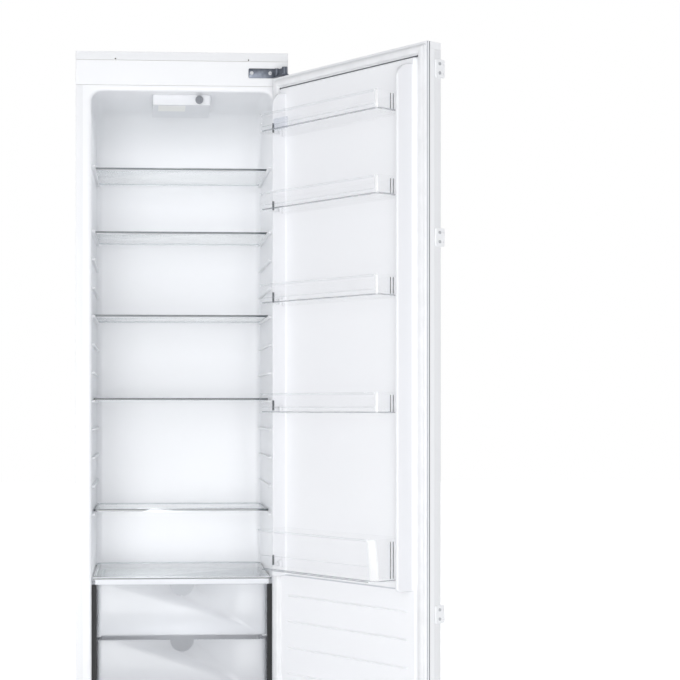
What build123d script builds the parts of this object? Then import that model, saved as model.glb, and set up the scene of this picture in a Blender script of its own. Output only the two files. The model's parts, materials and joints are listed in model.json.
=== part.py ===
from build123d import *
import os
from math import cos, radians, sin

# Casing: outer sizes and the sheet steel it is folded from
cab_width = 540.0
cab_height = 1770.0
body_depth = 490.0
steel_wall = 1.0
base_wall = 2.0
front_return = 18.0
rear_return = 12.0
top_strip = 21.5
fascia_height = 64.0
fascia_wall = 2.0
seam_gap = 0.6
rear_recess = 20.0
strip_hole_radius = 1.8
strip_hole_side = 101.0
strip_hole_depth = 20.0
strip_hole_rise = 3.5

# Cavity and its plastic liner
liner_wall = 2.0
side_insulation = 40.0
rear_insulation = 50.0
cavity_head_gap = 14.5
cavity_floor = 120.0
mouth_corner = 25.0
rear_corner = 18.0
ceiling_sweep = 135.0
step_corner = 20.0
mouth_flare = 8.0

# Machine niche at the foot of the rear wall, and the foam over it
niche_height = 225.0
niche_depth = 190.0
niche_cover = 45.0

# Shelf ledges on the liner's side walls
ledge_reach = 8.0
ledge_height = 6.0
ledge_setback = 33.0
ledge_rear_gap = 17.0
ledge_steps = 10
ledge_head_gap = 166.5
rest_gap = 0.3

# Glass shelves: the top one, then the others by the ledge step that carries them
glass_wall = 4.0
top_shelf_drop = 178.5
lowest_shelf_rise = 166.0
shelf_steps = [10, 7, 4, 0]
shelf_side_gap = 2.0
shelf_front = 123.0
shelf_rear_gap = 7.0
shelf_corner = 22.0
trim_wall = 1.6
trim_lip = 7.0
trim_side_gap = 1.0

# Crisper cover, the two drawers under it and the seals beside their fronts
cover_rise = 17.0
cover_front = 7.0
cover_rear_gap = 6.0
cover_trim_height = 13.0
cover_trim_wall = 3.0
drawer_side_gap = 15.0
drawer_wall = 3.0
drawer_corner = 12.0
drawer_front = 9.0
drawer_rear_gap = 12.0
drawer_rim_width = 5.0
drawer_rim_height = 4.0
upper_drawer_rise = 15.0
upper_drawer_height = 131.0
lower_drawer_rise = 8.0
drawer_stack_gap = 11.0
drawer_ledge_reach = 24.0
drawer_grip_radius = 30.0
seal_gap = 2.0
seal_wall = 4.0

# Control box on the ceiling, with its lamp and knob
control_width = 150.0
control_length = 180.0
control_height = 26.0
control_setback = 45.0
control_wall = 2.0
lamp_width = 70.0
lamp_length = 80.0
lamp_shift = 25.0
board_wall = 1.6
board_gap = 6.0
knob_radius = 10.0
knob_length = 12.0
knob_shaft_radius = 3.0
knob_shaft_length = 10.0
knob_shift = 45.0
knob_grip_width = 4.0
knob_grip_height = 3.0
run_gap = 0.05
sensor_width = 30.0
sensor_depth = 8.0
sensor_height = 12.0

# Hinges: a plate on the cabinet front, an arm over the door and a pin
hinge_plate_width = 99.0
hinge_plate_height = 24.5
hinge_plate_wall = 2.5
hinge_side_gap = 2.0
hinge_arm_width = 39.0
hinge_arm_wall = 3.0
hinge_nose_radius = 10.0
hinge_nose_share = 0.98
hinge_clear = 10.0
pin_radius = 4.0
pin_inset = 12.0
pin_depth = 29.0
pin_engagement = 14.0
bush_radius = 7.0
bush_rim_radius = 9.0
bush_rim = 1.5
screw_radius = 2.0
screw_head_radius = 4.5
screw_head_height = 2.4
screw_length = 14.0
screw_slot_width = 1.2
screw_slot_length = 5.4
screw_slot_depth = 1.2
screw_far_inset = 93.0
screw_near_inset = 46.0

# Door: an insulated leaf shown turned open about its pin
door_open_turn = 125.7
door_bottom = 44.0
door_top_rise = 11.5
door_wall = 44.0
cap_height = 16.0
liner_fold = 6.5
groove_gap = 0.8
strip_width = 16.2
strip_wall = 3.0

# Door gasket between the leaf and the cabinet front
gasket_space = 10.0
gasket_gap = 0.3
gasket_width = 25.0
gasket_side = 9.0
gasket_far_side = 1.0
gasket_top = 5.0
gasket_base = 3.0
gasket_bulb_width = 14.0
gasket_lip_width = 19.0

# Door liner relief: two zones, two dams and the ribs of the low zone
zone_side = 36.0
zone_end = 32.0
low_zone = 2.5
high_zone = 6.5
high_zone_rise = 17.0
dam_height = 36.0
dam_top_gap = 47.0
dam_foot_run = 3.0
dam_foot_rise = 3.0
dam_heel_run = 4.5
dam_heel_rise = 10.0
dam_crest_run = 12.0
dam_crest_width = 7.0
dam_inner_run = 21.4
dam_corner = 18.0
crest_round = 3.0
rib_width = 3.0
rib_rise = 2.0
rib_side = 26.0
rib_pitch = 64.5
rib_count = 5
rib_first_drop = 51.5
lug_width = 10.0
lug_height = 14.0
lug_reach = 4.0
lug_place = 20.0

# Door bins: floors as shares of the door's height and own heights, then the bottle rack
bin_floor_shares = [0.904964, 0.788741, 0.650424, 0.488801]
bin_heights = [46.0, 44.6, 49.2, 49.2]
bin_front = 100.0
bin_corner = 15.0
bin_wall = 2.5
bin_side_gap = 0.6
bin_rim_width = 1.5
bin_rim_height = 4.0
rack_rise = 19.5
rack_height = 99.0
rack_front_low = 105.0
rack_front_high = 115.0
rack_corner = 25.0
rack_step_height = 40.0
rack_step_width = 1.2

# Rail brackets on the door's free edge, their middles as shares of the door's height
bracket_shares = [0.964286, 0.732143, 0.213075, 0.035714]
bracket_height = 42.0
bracket_width = 28.0
bracket_start = 26.0
bracket_wall = 3.0
bracket_corner = 5.0
bracket_hole_radius = 1.9
bracket_hole_pitch = 21.0
bracket_screw_place = 11.0
bracket_rail_place = 24.0
bracket_screw_head_radius = 3.6
bracket_screw_head_height = 1.8

# Compressor on its grommets in the niche
grommet_height = 12.0
grommet_radius = 11.0
grommet_span_x = 170.0
grommet_span_y = 90.0
foot_plate_wall = 2.5
foot_plate_margin = 14.0
compressor_place_share = 0.552632
compressor_radius = 62.0
compressor_head_gap = 45.5
dome_rise = 34.0
dome_flat_radius = 35.0
weld_ring_width = 4.0
weld_ring_height = 5.0
weld_ring_share = 0.55
relay_seat = 68.0
relay_width = 70.0
relay_height = 60.0
relay_depth = 30.0
relay_drop_share = 0.35
stub_reach = 78.0
suction_z = 130.0
discharge_z = 80.0
suction_radius = 3.5
discharge_radius = 2.4
capillary_radius = 1.5

# Condenser on the rear wall
coil_radius = 2.4
riser_side_gap = 30.0
coil_side_gap = 25.0
coil_stand = 5.0
coil_bottom = 320.0
coil_head_gap = 190.0
coil_runs = 21
coil_bend_share = 0.45
coil_tail_z = 260.0
wire_radius = 0.8
wire_gap = 0.1
wire_count = 30
wire_clip_gap = 9.0
wire_overhang = 8.0
clip_side_gap = 32.0
clip_width = 8.0
clip_height = 14.0
clip_runs = [0, 7, 13, 20]

# Evaporator plate, drier, drain and tray
evaporator_side_gap = 40.0
evaporator_bottom = 640.0
evaporator_share = 0.718447
evaporator_wall = 1.5
evaporator_corner = 10.0
channel_width = 8.0
channel_rise = 2.0
channel_count = 9
channel_margin = 30.0
drier_radius = 9.0
drier_bottom = 50.0
drier_length = 90.0
suction_x = 120.0
suction_back_gap = 45.0
suction_turn_z = 700.0
capillary_side_gap = 40.0
capillary_back_gap = 55.0
capillary_low_z = 25.0
pipe_bend = 14.0
capillary_bend = 8.0
drain_radius = 6.0
drain_wall = 1.0
drain_back_gap = 30.0
drain_drop = 32.0
tray_width = 150.0
tray_depth = 120.0
tray_height = 24.0
tray_wall = 1.5
gland_width = 30.0
gland_height = 24.0
gland_depth = 16.0
gland_bore = 4.5
gland_side_gap = 40.0

# Overrun of every through cut
over = 5.0

# Places that follow from the sizes above: casing, cavity and niche
cab_half = cab_width / 2
front_y = -body_depth / 2
back_y = body_depth / 2
rear_wall_y = back_y - rear_recess
roof_z = cab_height - steel_wall
strip_bottom = cab_height - top_strip
fascia_bottom = strip_bottom - fascia_height
casing_half = cab_half - steel_wall
foam_back = rear_wall_y - steel_wall
cavity_half = cab_half - side_insulation
cavity_top = fascia_bottom - cavity_head_gap
cavity_back = rear_wall_y - rear_insulation
niche_front = back_y - niche_depth
step_front = niche_front - niche_cover
step_top = niche_height + niche_cover

# Places of the shelves and drawers
drawer_half = cavity_half - drawer_side_gap
lower_drawer_floor = cavity_floor + lower_drawer_rise
upper_drawer_floor = step_top + upper_drawer_rise
lower_drawer_height = upper_drawer_floor - lower_drawer_floor - drawer_stack_gap
cover_top = upper_drawer_floor + upper_drawer_height + cover_rise
lowest_shelf = cover_top + lowest_shelf_rise
top_shelf = cavity_top - top_shelf_drop
ledge_pitch = (top_shelf - lowest_shelf - ledge_head_gap) / ledge_steps
shelf_back_y = cavity_back - shelf_rear_gap

# Places of the cooling parts
compressor_y = back_y - niche_depth * compressor_place_share
evaporator_half = cavity_half - evaporator_side_gap
evaporator_height = (cavity_top - evaporator_bottom) * evaporator_share
suction_y = back_y - suction_back_gap
capillary_x = evaporator_half - capillary_side_gap
capillary_y = back_y - capillary_back_gap
drain_y = cavity_back - drain_back_gap
drain_bottom = niche_height - drain_drop
riser_x = cab_half - riser_side_gap
coil_half_width = riser_x - coil_side_gap
coil_top = cab_height - coil_head_gap
coil_pitch = (coil_top - coil_bottom) / (coil_runs - 1)
clip_x = coil_half_width - clip_side_gap
wire_pitch = (clip_x - wire_clip_gap) * 2 / (wire_count - 1)
gland_x = cab_half - gland_side_gap

# Places of the door, its liner and what hangs on it
door_width = cab_width
door_top = fascia_bottom + door_top_rise
door_height = door_top - door_bottom
door_middle = door_bottom + door_height / 2
high_zone_bottom = cover_top + high_zone_rise
dam_top = door_top - dam_top_gap
rack_floor = high_zone_bottom + rack_rise
bin_floors = [door_bottom + door_height * share for share in bin_floor_shares]
bracket_levels = [door_bottom + door_height * share for share in bracket_shares]
pin_x = cab_half - pin_inset
pin_y = front_y - gasket_space - pin_depth
turn = radians(180 + door_open_turn)
along_door = Vector(cos(turn), sin(turn), 0)
into_room = Vector(-sin(turn), cos(turn), 0)
door_corner = Vector(pin_x, pin_y, 0) - along_door * pin_inset - into_room * pin_depth


def facing(y):
    """Upright plane at depth y that faces the front: x to the right, y upwards."""
    return Plane.XZ.offset(-y)


def level(z):
    """Flat plane at height z."""
    return Plane.XY.offset(z)


def door_face(p):
    """Upright plane on the door, p beyond its inner face: x along the door, y upwards."""
    return Plane(origin=door_corner - into_room * p, x_dir=along_door, z_dir=-into_room)


def door_level(z):
    """Flat plane on the door at height z: x along the door, minus y into the cavity."""
    return Plane(origin=door_corner + Vector(0, 0, z), x_dir=along_door, z_dir=(0, 0, 1))


def outline(plane, corners):
    """Closed face on a plane from rows of place and corner radius."""
    with BuildSketch(plane) as shape:
        with BuildLine():
            Polyline(*[(x, y) for x, y, radius in corners], close=True)
        make_face()
        for x, y, radius in corners:
            if radius:
                fillet(shape.vertices().sort_by_distance((x, y))[0], radius)
    return shape.sketch


def block(plane, x_low, x_high, y_low, y_high, amount, radius=0.0):
    """Straight block on a plane between two corners, with its upright edges rounded."""
    corners = [
        (x_low, y_low, radius),
        (x_high, y_low, radius),
        (x_high, y_high, radius),
        (x_low, y_high, radius),
    ]
    return extrude(outline(plane, corners), amount=amount, mode=Mode.PRIVATE)


def rod(plane, x, y, radius, amount):
    """Round rod that stands on a plane at a point."""
    with BuildSketch(plane) as disc:
        with Locations((x, y)):
            Circle(radius)
    return extrude(disc.sketch, amount=amount, mode=Mode.PRIVATE)


def pipe(points, radius, bend):
    """Tube along straight runs joined by tangent arcs."""
    with BuildLine() as path:
        FilletPolyline(*points, radius=bend)
    with BuildSketch(Plane(origin=path.line @ 0, z_dir=path.line % 0)) as section:
        Circle(radius)
    return sweep(section.sketch, path=path.line, mode=Mode.PRIVATE)


def cavity_form(grow):
    """Inside of the cavity, or the liner's outside when it is grown by the liner's wall."""
    half = cavity_half + grow
    low = cavity_floor - grow
    high = cavity_top + grow
    deep = cavity_back + grow
    side = [
        (front_y, low, 0),
        (step_front + grow, low, step_corner + grow),
        (step_front + grow, step_top - grow, step_corner - grow),
        (deep, step_top - grow, step_corner + grow),
        (deep, high, ceiling_sweep + grow),
        (front_y, high, 0),
    ]
    plan = [
        (-half, front_y, 0),
        (half, front_y, 0),
        (half, deep, rear_corner + grow),
        (-half, deep, rear_corner + grow),
    ]
    corner = mouth_corner + grow
    front = [(-half, low, corner), (half, low, corner), (half, high, corner), (-half, high, corner)]
    with BuildPart() as form:
        extrude(outline(Plane.YZ.offset(-half), side), amount=half + half)
        extrude(outline(level(low), plan), amount=high - low, mode=Mode.INTERSECT)
        extrude(outline(facing(deep), front), amount=deep - front_y, mode=Mode.INTERSECT)
        mouths = []
        for spread, depth in ((mouth_flare, 0), (0, mouth_flare)):
            with BuildSketch(facing(front_y + depth)) as mouth:
                with Locations((0, (low + high) / 2)):
                    RectangleRounded(
                        half + half + spread + spread,
                        high - low + spread + spread,
                        corner + spread,
                    )
            mouths.append(mouth.sketch.face())
        loft(mouths, ruled=True)
    return form.part


door_middle_plane = Plane(
    origin=door_corner + along_door * (door_width / 2),
    x_dir=-into_room,
    z_dir=along_door,
)


def door_relief(inset, base):
    """Raised zones and dams of the door liner, shrunk by inset, standing from depth base."""
    left = zone_side + inset
    right = door_width - left
    with BuildPart() as relief:
        low_face = low_zone - inset
        high_face = high_zone - inset
        add(block(door_face(base), left, right, door_bottom + zone_end + inset,
                  door_top - zone_end - inset, low_face - base))
        add(block(door_face(base), left, right, high_zone_bottom + inset,
                  door_top - zone_end - inset, high_face - base))
        crest = dam_height - inset
        foot = zone_side + inset
        crest_start = zone_side + dam_crest_run + inset
        crest_end = zone_side + dam_crest_run + dam_crest_width - inset
        inner = zone_side + dam_inner_run - inset
        heel = zone_side + dam_heel_run + inset
        section = [
            (foot, -base, 0),
            (foot, 0, 0),
            (foot + dam_foot_run, -dam_foot_rise, 0),
            (heel, -dam_heel_rise, 0),
            (crest_start, -crest, crest_round - inset),
            (crest_end, -crest, crest_round - inset),
            (inner, -high_face, 0),
            (inner, -base, 0),
        ]
        dam_low = high_zone_bottom + inset
        dam_high = dam_top - inset
        side = [
            (-base, dam_low, 0),
            (-base, dam_high, 0),
            (-crest, dam_high, dam_corner - inset),
            (-crest, dam_low, 0),
        ]
        side_plane = Plane(origin=door_corner + along_door * foot, x_dir=into_room,
                           z_dir=along_door)
        with BuildPart(mode=Mode.PRIVATE) as dam:
            extrude(outline(door_level(dam_low), section), amount=dam_high - dam_low)
            extrude(outline(side_plane, side), amount=inner - foot, mode=Mode.INTERSECT)
        add(dam.part)
        add(mirror(dam.part, about=door_middle_plane, mode=Mode.PRIVATE))
    return relief.part


def export(piece, name):
    """Labels one finished piece and writes its STEP file."""
    piece.label = name
    export_step(piece, f"parts/{name}.step")


os.makedirs("parts", exist_ok=True)

# Base plate
with BuildPart() as base_plate:
    add(block(level(0), -cab_half, cab_half, front_y, back_y, base_wall))
export(base_plate.part, "base_plate")

# Side panels: one folded sheet each, with a return across the front and one at the rear
with BuildPart() as side_panel_right:
    add(block(level(base_wall), casing_half, cab_half, front_y, back_y, roof_z - base_wall))
    add(block(level(base_wall), cab_half - front_return, cab_half, front_y,
              front_y + steel_wall, fascia_bottom - base_wall))
    add(block(level(base_wall), cab_half - rear_return, cab_half, back_y - steel_wall,
              back_y, roof_z - base_wall))
export(side_panel_right.part, "side_panel_right")

with BuildPart() as side_panel_left:
    add(mirror(side_panel_right.part, about=Plane.YZ, mode=Mode.PRIVATE))
export(side_panel_left.part, "side_panel_left")

# Top panel with its strip down the front and the two fixing holes in it
with BuildPart() as top_panel:
    add(block(level(roof_z), -cab_half, cab_half, front_y, back_y, steel_wall))
    add(block(facing(front_y + steel_wall), -casing_half, casing_half, strip_bottom,
              roof_z, steel_wall))
    with BuildSketch(facing(front_y)) as strip_holes:
        with Locations(
            (strip_hole_side - cab_half, strip_bottom + strip_hole_rise),
            (cab_half - strip_hole_side, strip_bottom + strip_hole_rise),
        ):
            Circle(strip_hole_radius)
    extrude(strip_holes.sketch, amount=-(steel_wall + strip_hole_depth), mode=Mode.SUBTRACT)
export(top_panel.part, "top_panel")

# Back panel over the niche, and the niche panel that bends round the foam there
with BuildPart() as back_panel:
    add(block(facing(rear_wall_y), -casing_half, casing_half, niche_height, roof_z, steel_wall))
export(back_panel.part, "back_panel")

drain_rod = rod(level(niche_height - over), 0, drain_y, drain_radius + run_gap,
                niche_cover + over + over)

# Pipe routes between compressor, condenser, drier and evaporator
coil_y = rear_wall_y + coil_stand + coil_radius
evaporator_y = cavity_back + liner_wall
plate_back = evaporator_y + evaporator_wall
suction_pipe = pipe(
    [
        (-stub_reach, compressor_y, suction_z),
        (-suction_x, compressor_y, suction_z),
        (-suction_x, suction_y, suction_z),
        (-suction_x, suction_y, suction_turn_z),
        (-suction_x, plate_back, suction_turn_z),
    ],
    suction_radius,
    pipe_bend,
)
discharge_pipe = pipe(
    [
        (-stub_reach, compressor_y, discharge_z),
        (-coil_half_width, compressor_y, discharge_z),
        (-coil_half_width, coil_y, discharge_z),
        (-coil_half_width, coil_y, coil_tail_z),
    ],
    discharge_radius,
    pipe_bend,
)
drier_pipe = rod(level(drier_bottom + drier_length), riser_x, coil_y,
                 discharge_radius, coil_tail_z - drier_bottom - drier_length)
capillary_pipe = pipe(
    [
        (riser_x, coil_y, drier_bottom),
        (riser_x, coil_y, capillary_low_z),
        (riser_x, capillary_y, capillary_low_z),
        (riser_x, capillary_y, suction_turn_z),
        (capillary_x, capillary_y, suction_turn_z),
        (capillary_x, plate_back, suction_turn_z),
    ],
    capillary_radius,
    capillary_bend,
)

with BuildPart() as niche_panel:
    add(block(level(niche_height), -casing_half, casing_half, niche_front - steel_wall,
              foam_back, steel_wall))
    add(block(level(base_wall), -casing_half, casing_half, niche_front - steel_wall,
              niche_front, niche_height - base_wall))
    add(drain_rod, mode=Mode.SUBTRACT)
    add(suction_pipe, mode=Mode.SUBTRACT)
    add(capillary_pipe, mode=Mode.SUBTRACT)
export(niche_panel.part, "niche_panel")

# Hinge screws, upper and lower, and the places they share with the plates
hinge_plate_bottom = door_top + hinge_clear
screw_z = hinge_plate_bottom + hinge_plate_height / 2
mirror_z = door_bottom + door_top
upper_screw_places = [
    (cab_half - screw_far_inset, screw_z),
    (cab_half - screw_near_inset, screw_z),
]
lower_screw_places = [(x, mirror_z - z) for x, z in upper_screw_places]


def screw_shafts(places, radius):
    """Shafts of the hinge screws, from the plate's front into the foam."""
    with BuildSketch(facing(front_y - hinge_plate_wall)) as discs:
        with Locations(*places):
            Circle(radius)
    return extrude(discs.sketch, amount=-screw_length, mode=Mode.PRIVATE)


# Inner liner with its front flange, the shelf ledges and the drawer ledges
shelf_tops = [top_shelf] + [lowest_shelf + ledge_pitch * step for step in shelf_steps]
under_glass = glass_wall + rest_gap
ledge_tops = [top_shelf - under_glass]
ledge_tops += [lowest_shelf - under_glass + ledge_pitch * step for step in range(ledge_steps + 1)]
ledge_front = front_y + ledge_setback
ledge_length = cavity_back - ledge_rear_gap - ledge_front
ledge_rows = [(top, ledge_reach, ledge_length) for top in ledge_tops]
ledge_rows.append((cover_top - glass_wall, ledge_reach, ledge_length))
ledge_rows.append((upper_drawer_floor - rest_gap, drawer_ledge_reach, ledge_length))
ledge_rows.append(
    (lower_drawer_floor - rest_gap, drawer_ledge_reach, step_front - step_corner - ledge_front)
)
cavity_outside = cavity_form(liner_wall)
cavity_inside = cavity_form(0)
with BuildPart() as ledges:
    for side in (-1, 1):
        wall_side = side * (cavity_half + liner_wall / 2)
        for top, reach, length in ledge_rows:
            edge = side * (cavity_half - reach)
            add(block(level(top - ledge_height), min(edge, wall_side), max(edge, wall_side),
                      ledge_front, ledge_front + length, ledge_height))
    add(cavity_outside, mode=Mode.INTERSECT)

with BuildPart() as inner_liner:
    add(cavity_outside)
    flange_half = cab_half - front_return
    add(block(facing(front_y + liner_wall), -flange_half, flange_half, base_wall,
              fascia_bottom, liner_wall))
    add(cavity_inside, mode=Mode.SUBTRACT)
    add(ledges.part)
    add(rod(level(step_top - niche_cover), 0, drain_y, drain_radius - drain_wall,
            niche_cover + over), mode=Mode.SUBTRACT)
    add(screw_shafts(lower_screw_places, screw_radius + run_gap), mode=Mode.SUBTRACT)
export(inner_liner.part, "inner_liner")

# Top fascia between the liner's flange and the top strip
with BuildPart() as top_fascia:
    add(block(facing(front_y + fascia_wall), -casing_half, casing_half,
              fascia_bottom + seam_gap, strip_bottom - seam_gap, fascia_wall))
    add(screw_shafts(upper_screw_places, screw_radius + run_gap), mode=Mode.SUBTRACT)
export(top_fascia.part, "top_fascia")

# Door sensor behind the fascia
with BuildPart() as door_sensor:
    add(block(facing(front_y + fascia_wall + sensor_depth), -sensor_width / 2, sensor_width / 2,
              fascia_bottom + sensor_height, fascia_bottom + sensor_height + sensor_height,
              sensor_depth))
export(door_sensor.part, "door_sensor")

# Evaporator plate against the liner's rear wall
with BuildPart() as evaporator:
    evaporator_top = evaporator_bottom + evaporator_height
    add(block(facing(plate_back), -evaporator_half, evaporator_half, evaporator_bottom,
              evaporator_top, evaporator_wall, evaporator_corner))
    channel_half = evaporator_half - channel_margin
    channel_pitch = (evaporator_height - channel_margin - channel_margin) / channel_count
    channel_start = evaporator_bottom + channel_margin + channel_pitch
    for row in range(channel_count):
        row_z = channel_start + channel_pitch * row
        add(block(facing(plate_back + channel_rise), -channel_half, channel_half, row_z,
                  row_z + channel_width, channel_rise))
        if row < channel_count - 1:
            side = channel_half if row % 2 == 0 else channel_width - channel_half
            add(block(facing(plate_back + channel_rise), side - channel_width, side, row_z,
                      row_z + channel_pitch, channel_rise))
export(evaporator.part, "evaporator")

# Cabinet foam: everything between the casing and the liner
with BuildPart() as cabinet_foam:
    add(block(level(base_wall), -casing_half, casing_half, front_y + steel_wall, foam_back,
              roof_z - base_wall))
    add(block(level(0), -cab_half, cab_half, niche_front - steel_wall, back_y,
              niche_height + steel_wall), mode=Mode.SUBTRACT)
    add(cavity_outside, mode=Mode.SUBTRACT)
    add(block(facing(front_y + liner_wall), -flange_half, flange_half, base_wall,
              fascia_bottom, liner_wall), mode=Mode.SUBTRACT)
    add(block(facing(front_y + fascia_wall), -casing_half, casing_half, fascia_bottom,
              strip_bottom, fascia_wall), mode=Mode.SUBTRACT)
    add(screw_shafts(upper_screw_places, screw_radius + run_gap), mode=Mode.SUBTRACT)
    add(screw_shafts(lower_screw_places, screw_radius + run_gap), mode=Mode.SUBTRACT)
    extrude(strip_holes.sketch, amount=-(steel_wall + strip_hole_depth), mode=Mode.SUBTRACT)
    for piece in (door_sensor, evaporator):
        add(piece.part, mode=Mode.SUBTRACT)
    for tube in (suction_pipe, capillary_pipe, drain_rod):
        add(tube, mode=Mode.SUBTRACT)
export(cabinet_foam.part, "cabinet_foam")

# Hinges: the lower one is the upper one mirrored about the door's middle height
with BuildPart() as upper_hinge:
    plate_right = cab_half - hinge_side_gap
    plate_face = front_y - hinge_plate_wall
    add(block(facing(front_y), plate_right - hinge_plate_width, plate_right,
              hinge_plate_bottom, hinge_plate_bottom + hinge_plate_height, hinge_plate_wall,
              hinge_arm_wall))
    nose_left = pin_x - hinge_nose_radius
    nose_right = pin_x + hinge_nose_radius
    nose_front = pin_y - hinge_nose_radius
    arm_left = plate_right - hinge_arm_width
    arm = [
        (arm_left, plate_face, 0),
        (plate_right, plate_face, 0),
        (nose_right, nose_front, hinge_nose_radius * hinge_nose_share),
        (nose_left, nose_front, hinge_nose_radius * hinge_nose_share),
    ]
    extrude(outline(level(hinge_plate_bottom), arm), amount=hinge_arm_wall)
    gusset = [
        (plate_face, hinge_plate_bottom, 0),
        (plate_face, hinge_plate_bottom + hinge_plate_height, 0),
        (pin_y, hinge_plate_bottom + hinge_arm_wall, 0),
        (pin_y, hinge_plate_bottom, 0),
    ]
    extrude(outline(Plane.YZ.offset(plate_right - hinge_plate_wall), gusset),
            amount=hinge_plate_wall)
    add(rod(level(door_top - pin_engagement), pin_x, pin_y, pin_radius,
            pin_engagement + hinge_clear + hinge_arm_wall))
    add(screw_shafts(upper_screw_places, screw_radius + run_gap), mode=Mode.SUBTRACT)
export(upper_hinge.part, "upper_hinge")

with BuildPart() as lower_hinge:
    add(mirror(upper_hinge.part, about=level(door_middle), mode=Mode.PRIVATE))
export(lower_hinge.part, "lower_hinge")

# Hinge screws: four alike, with a round head and a cross recess
with BuildPart() as hinge_screws:
    add(screw_shafts(upper_screw_places + lower_screw_places, screw_radius))
    head_plane = facing(front_y - hinge_plate_wall)
    with BuildSketch(head_plane) as heads:
        with Locations(*(upper_screw_places + lower_screw_places)):
            Circle(screw_head_radius)
    extrude(heads.sketch, amount=screw_head_height)
    with BuildSketch(head_plane.offset(screw_head_height)) as recesses:
        with Locations(*(upper_screw_places + lower_screw_places)):
            Rectangle(screw_slot_length, screw_slot_width)
            Rectangle(screw_slot_width, screw_slot_length)
    extrude(recesses.sketch, amount=-screw_slot_depth, mode=Mode.SUBTRACT)
export(hinge_screws.part, "hinge_screws")

# Control box on the ceiling, with a window for the lamp and a hole for the knob's shaft
control_front = front_y + control_setback
control_back = control_front + control_length
control_floor = cavity_top - control_height
control_half = control_width / 2
knob_z = cavity_top - control_height / 2
lamp_half = lamp_width / 2
lamp_front = control_front + control_wall + board_gap
lamp_back = lamp_front + lamp_length
with BuildPart() as control_box:
    add(block(level(control_floor), -control_half, control_half, control_front, control_back,
              control_height, board_gap))
    add(block(level(control_floor + control_wall), control_wall - control_half,
              control_half - control_wall, control_front + control_wall,
              control_back - control_wall, control_height), mode=Mode.SUBTRACT)
    add(block(level(control_floor - over), -lamp_shift - lamp_half, lamp_half - lamp_shift,
              lamp_front, lamp_back, control_wall + over + over), mode=Mode.SUBTRACT)
    add(rod(facing(control_front + control_wall + over), knob_shift, knob_z,
            knob_shaft_radius + run_gap, control_wall + over + over), mode=Mode.SUBTRACT)
export(control_box.part, "control_box")

with BuildPart() as lamp_cover:
    add(block(level(control_floor), -lamp_shift - lamp_half, lamp_half - lamp_shift, lamp_front,
              lamp_back, control_wall))
    add(block(level(control_floor + control_wall), -lamp_shift - lamp_half - control_wall,
              lamp_half - lamp_shift + control_wall, lamp_front - control_wall,
              lamp_back + control_wall, control_wall))
export(lamp_cover.part, "lamp_cover")

with BuildPart() as led_board:
    add(block(level(control_floor + control_wall + control_wall), -lamp_shift - lamp_half,
              lamp_half - lamp_shift, lamp_front, lamp_back, board_wall))
    with BuildSketch(level(control_floor + control_wall + control_wall + board_wall)) as chips:
        with Locations((-lamp_shift, (lamp_front + lamp_back) / 2)):
            with GridLocations(lamp_width / 4, lamp_length / 4, 3, 3):
                Rectangle(board_gap, board_gap)
    extrude(chips.sketch, amount=board_wall)
export(led_board.part, "led_board")

with BuildPart() as thermostat_knob:
    knob_back = control_front - rest_gap
    add(rod(facing(knob_back), knob_shift, knob_z, knob_radius, knob_length - knob_grip_height))
    add(rod(facing(knob_back + knob_shaft_length), knob_shift, knob_z, knob_shaft_radius,
            knob_shaft_length))
    grip_half = knob_grip_width / 2
    add(block(facing(knob_back - knob_length + knob_grip_height), knob_shift - grip_half,
              knob_shift + grip_half, knob_z - knob_radius + grip_half,
              knob_z + knob_radius - grip_half, knob_grip_height))
export(thermostat_knob.part, "thermostat_knob")

# Shelves: a glass plate and a front trim that grips its edge
shelf_half = cavity_half - shelf_side_gap
trim_half = cavity_half - ledge_reach - trim_side_gap
shelf_front_y = front_y + shelf_front
for number, top in enumerate(shelf_tops, start=1):
    with BuildPart() as shelf:
        plate = [
            (-shelf_half, shelf_front_y, 0),
            (shelf_half, shelf_front_y, 0),
            (shelf_half, shelf_back_y, shelf_corner),
            (-shelf_half, shelf_back_y, shelf_corner),
        ]
        extrude(outline(level(top - glass_wall), plate), amount=glass_wall)
    export(shelf.part, f"shelf_{number}_glass")
    with BuildPart() as trim:
        nose = shelf_front_y - trim_wall
        add(block(level(top - glass_wall), -shelf_half, shelf_half, nose, shelf_front_y,
                  glass_wall))
        add(block(level(top), -shelf_half, shelf_half, nose, shelf_front_y + trim_lip,
                  trim_wall))
        add(block(level(top - glass_wall - trim_wall), -trim_half, trim_half, nose,
                  shelf_front_y + trim_lip, trim_wall))
        nose_edges = trim.edges().filter_by(Axis.X).group_by(Axis.Y)[0]
        fillet(nose_edges.group_by(Axis.Z)[-1], trim_wall / 2)
    export(trim.part, f"shelf_{number}_trim")

# Crisper cover: full-depth glass with a deep front trim
cover_front_y = front_y + cover_front
cover_back_y = cavity_back - cover_rear_gap
with BuildPart() as crisper_cover:
    cover = [
        (-shelf_half, cover_front_y, 0),
        (shelf_half, cover_front_y, 0),
        (shelf_half, cover_back_y, shelf_corner),
        (-shelf_half, cover_back_y, shelf_corner),
    ]
    extrude(outline(level(cover_top - glass_wall), cover), amount=glass_wall)
export(crisper_cover.part, "crisper_cover")

with BuildPart() as crisper_cover_trim:
    trim_foot = cover_top - glass_wall - cover_trim_height
    add(block(level(trim_foot), -trim_half, trim_half, cover_front_y - trim_wall,
              cover_front_y, cover_trim_height))
    add(block(level(cover_top - glass_wall), -shelf_half, shelf_half,
              cover_front_y - trim_wall, cover_front_y, glass_wall))
    add(block(level(cover_top), -shelf_half, shelf_half, cover_front_y - trim_wall,
              cover_front_y + trim_lip, trim_wall))
    add(block(level(cover_top - glass_wall - cover_trim_wall), -trim_half, trim_half,
              cover_front_y, cover_front_y + trim_lip, cover_trim_wall))
export(crisper_cover_trim.part, "crisper_cover_trim")

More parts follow.
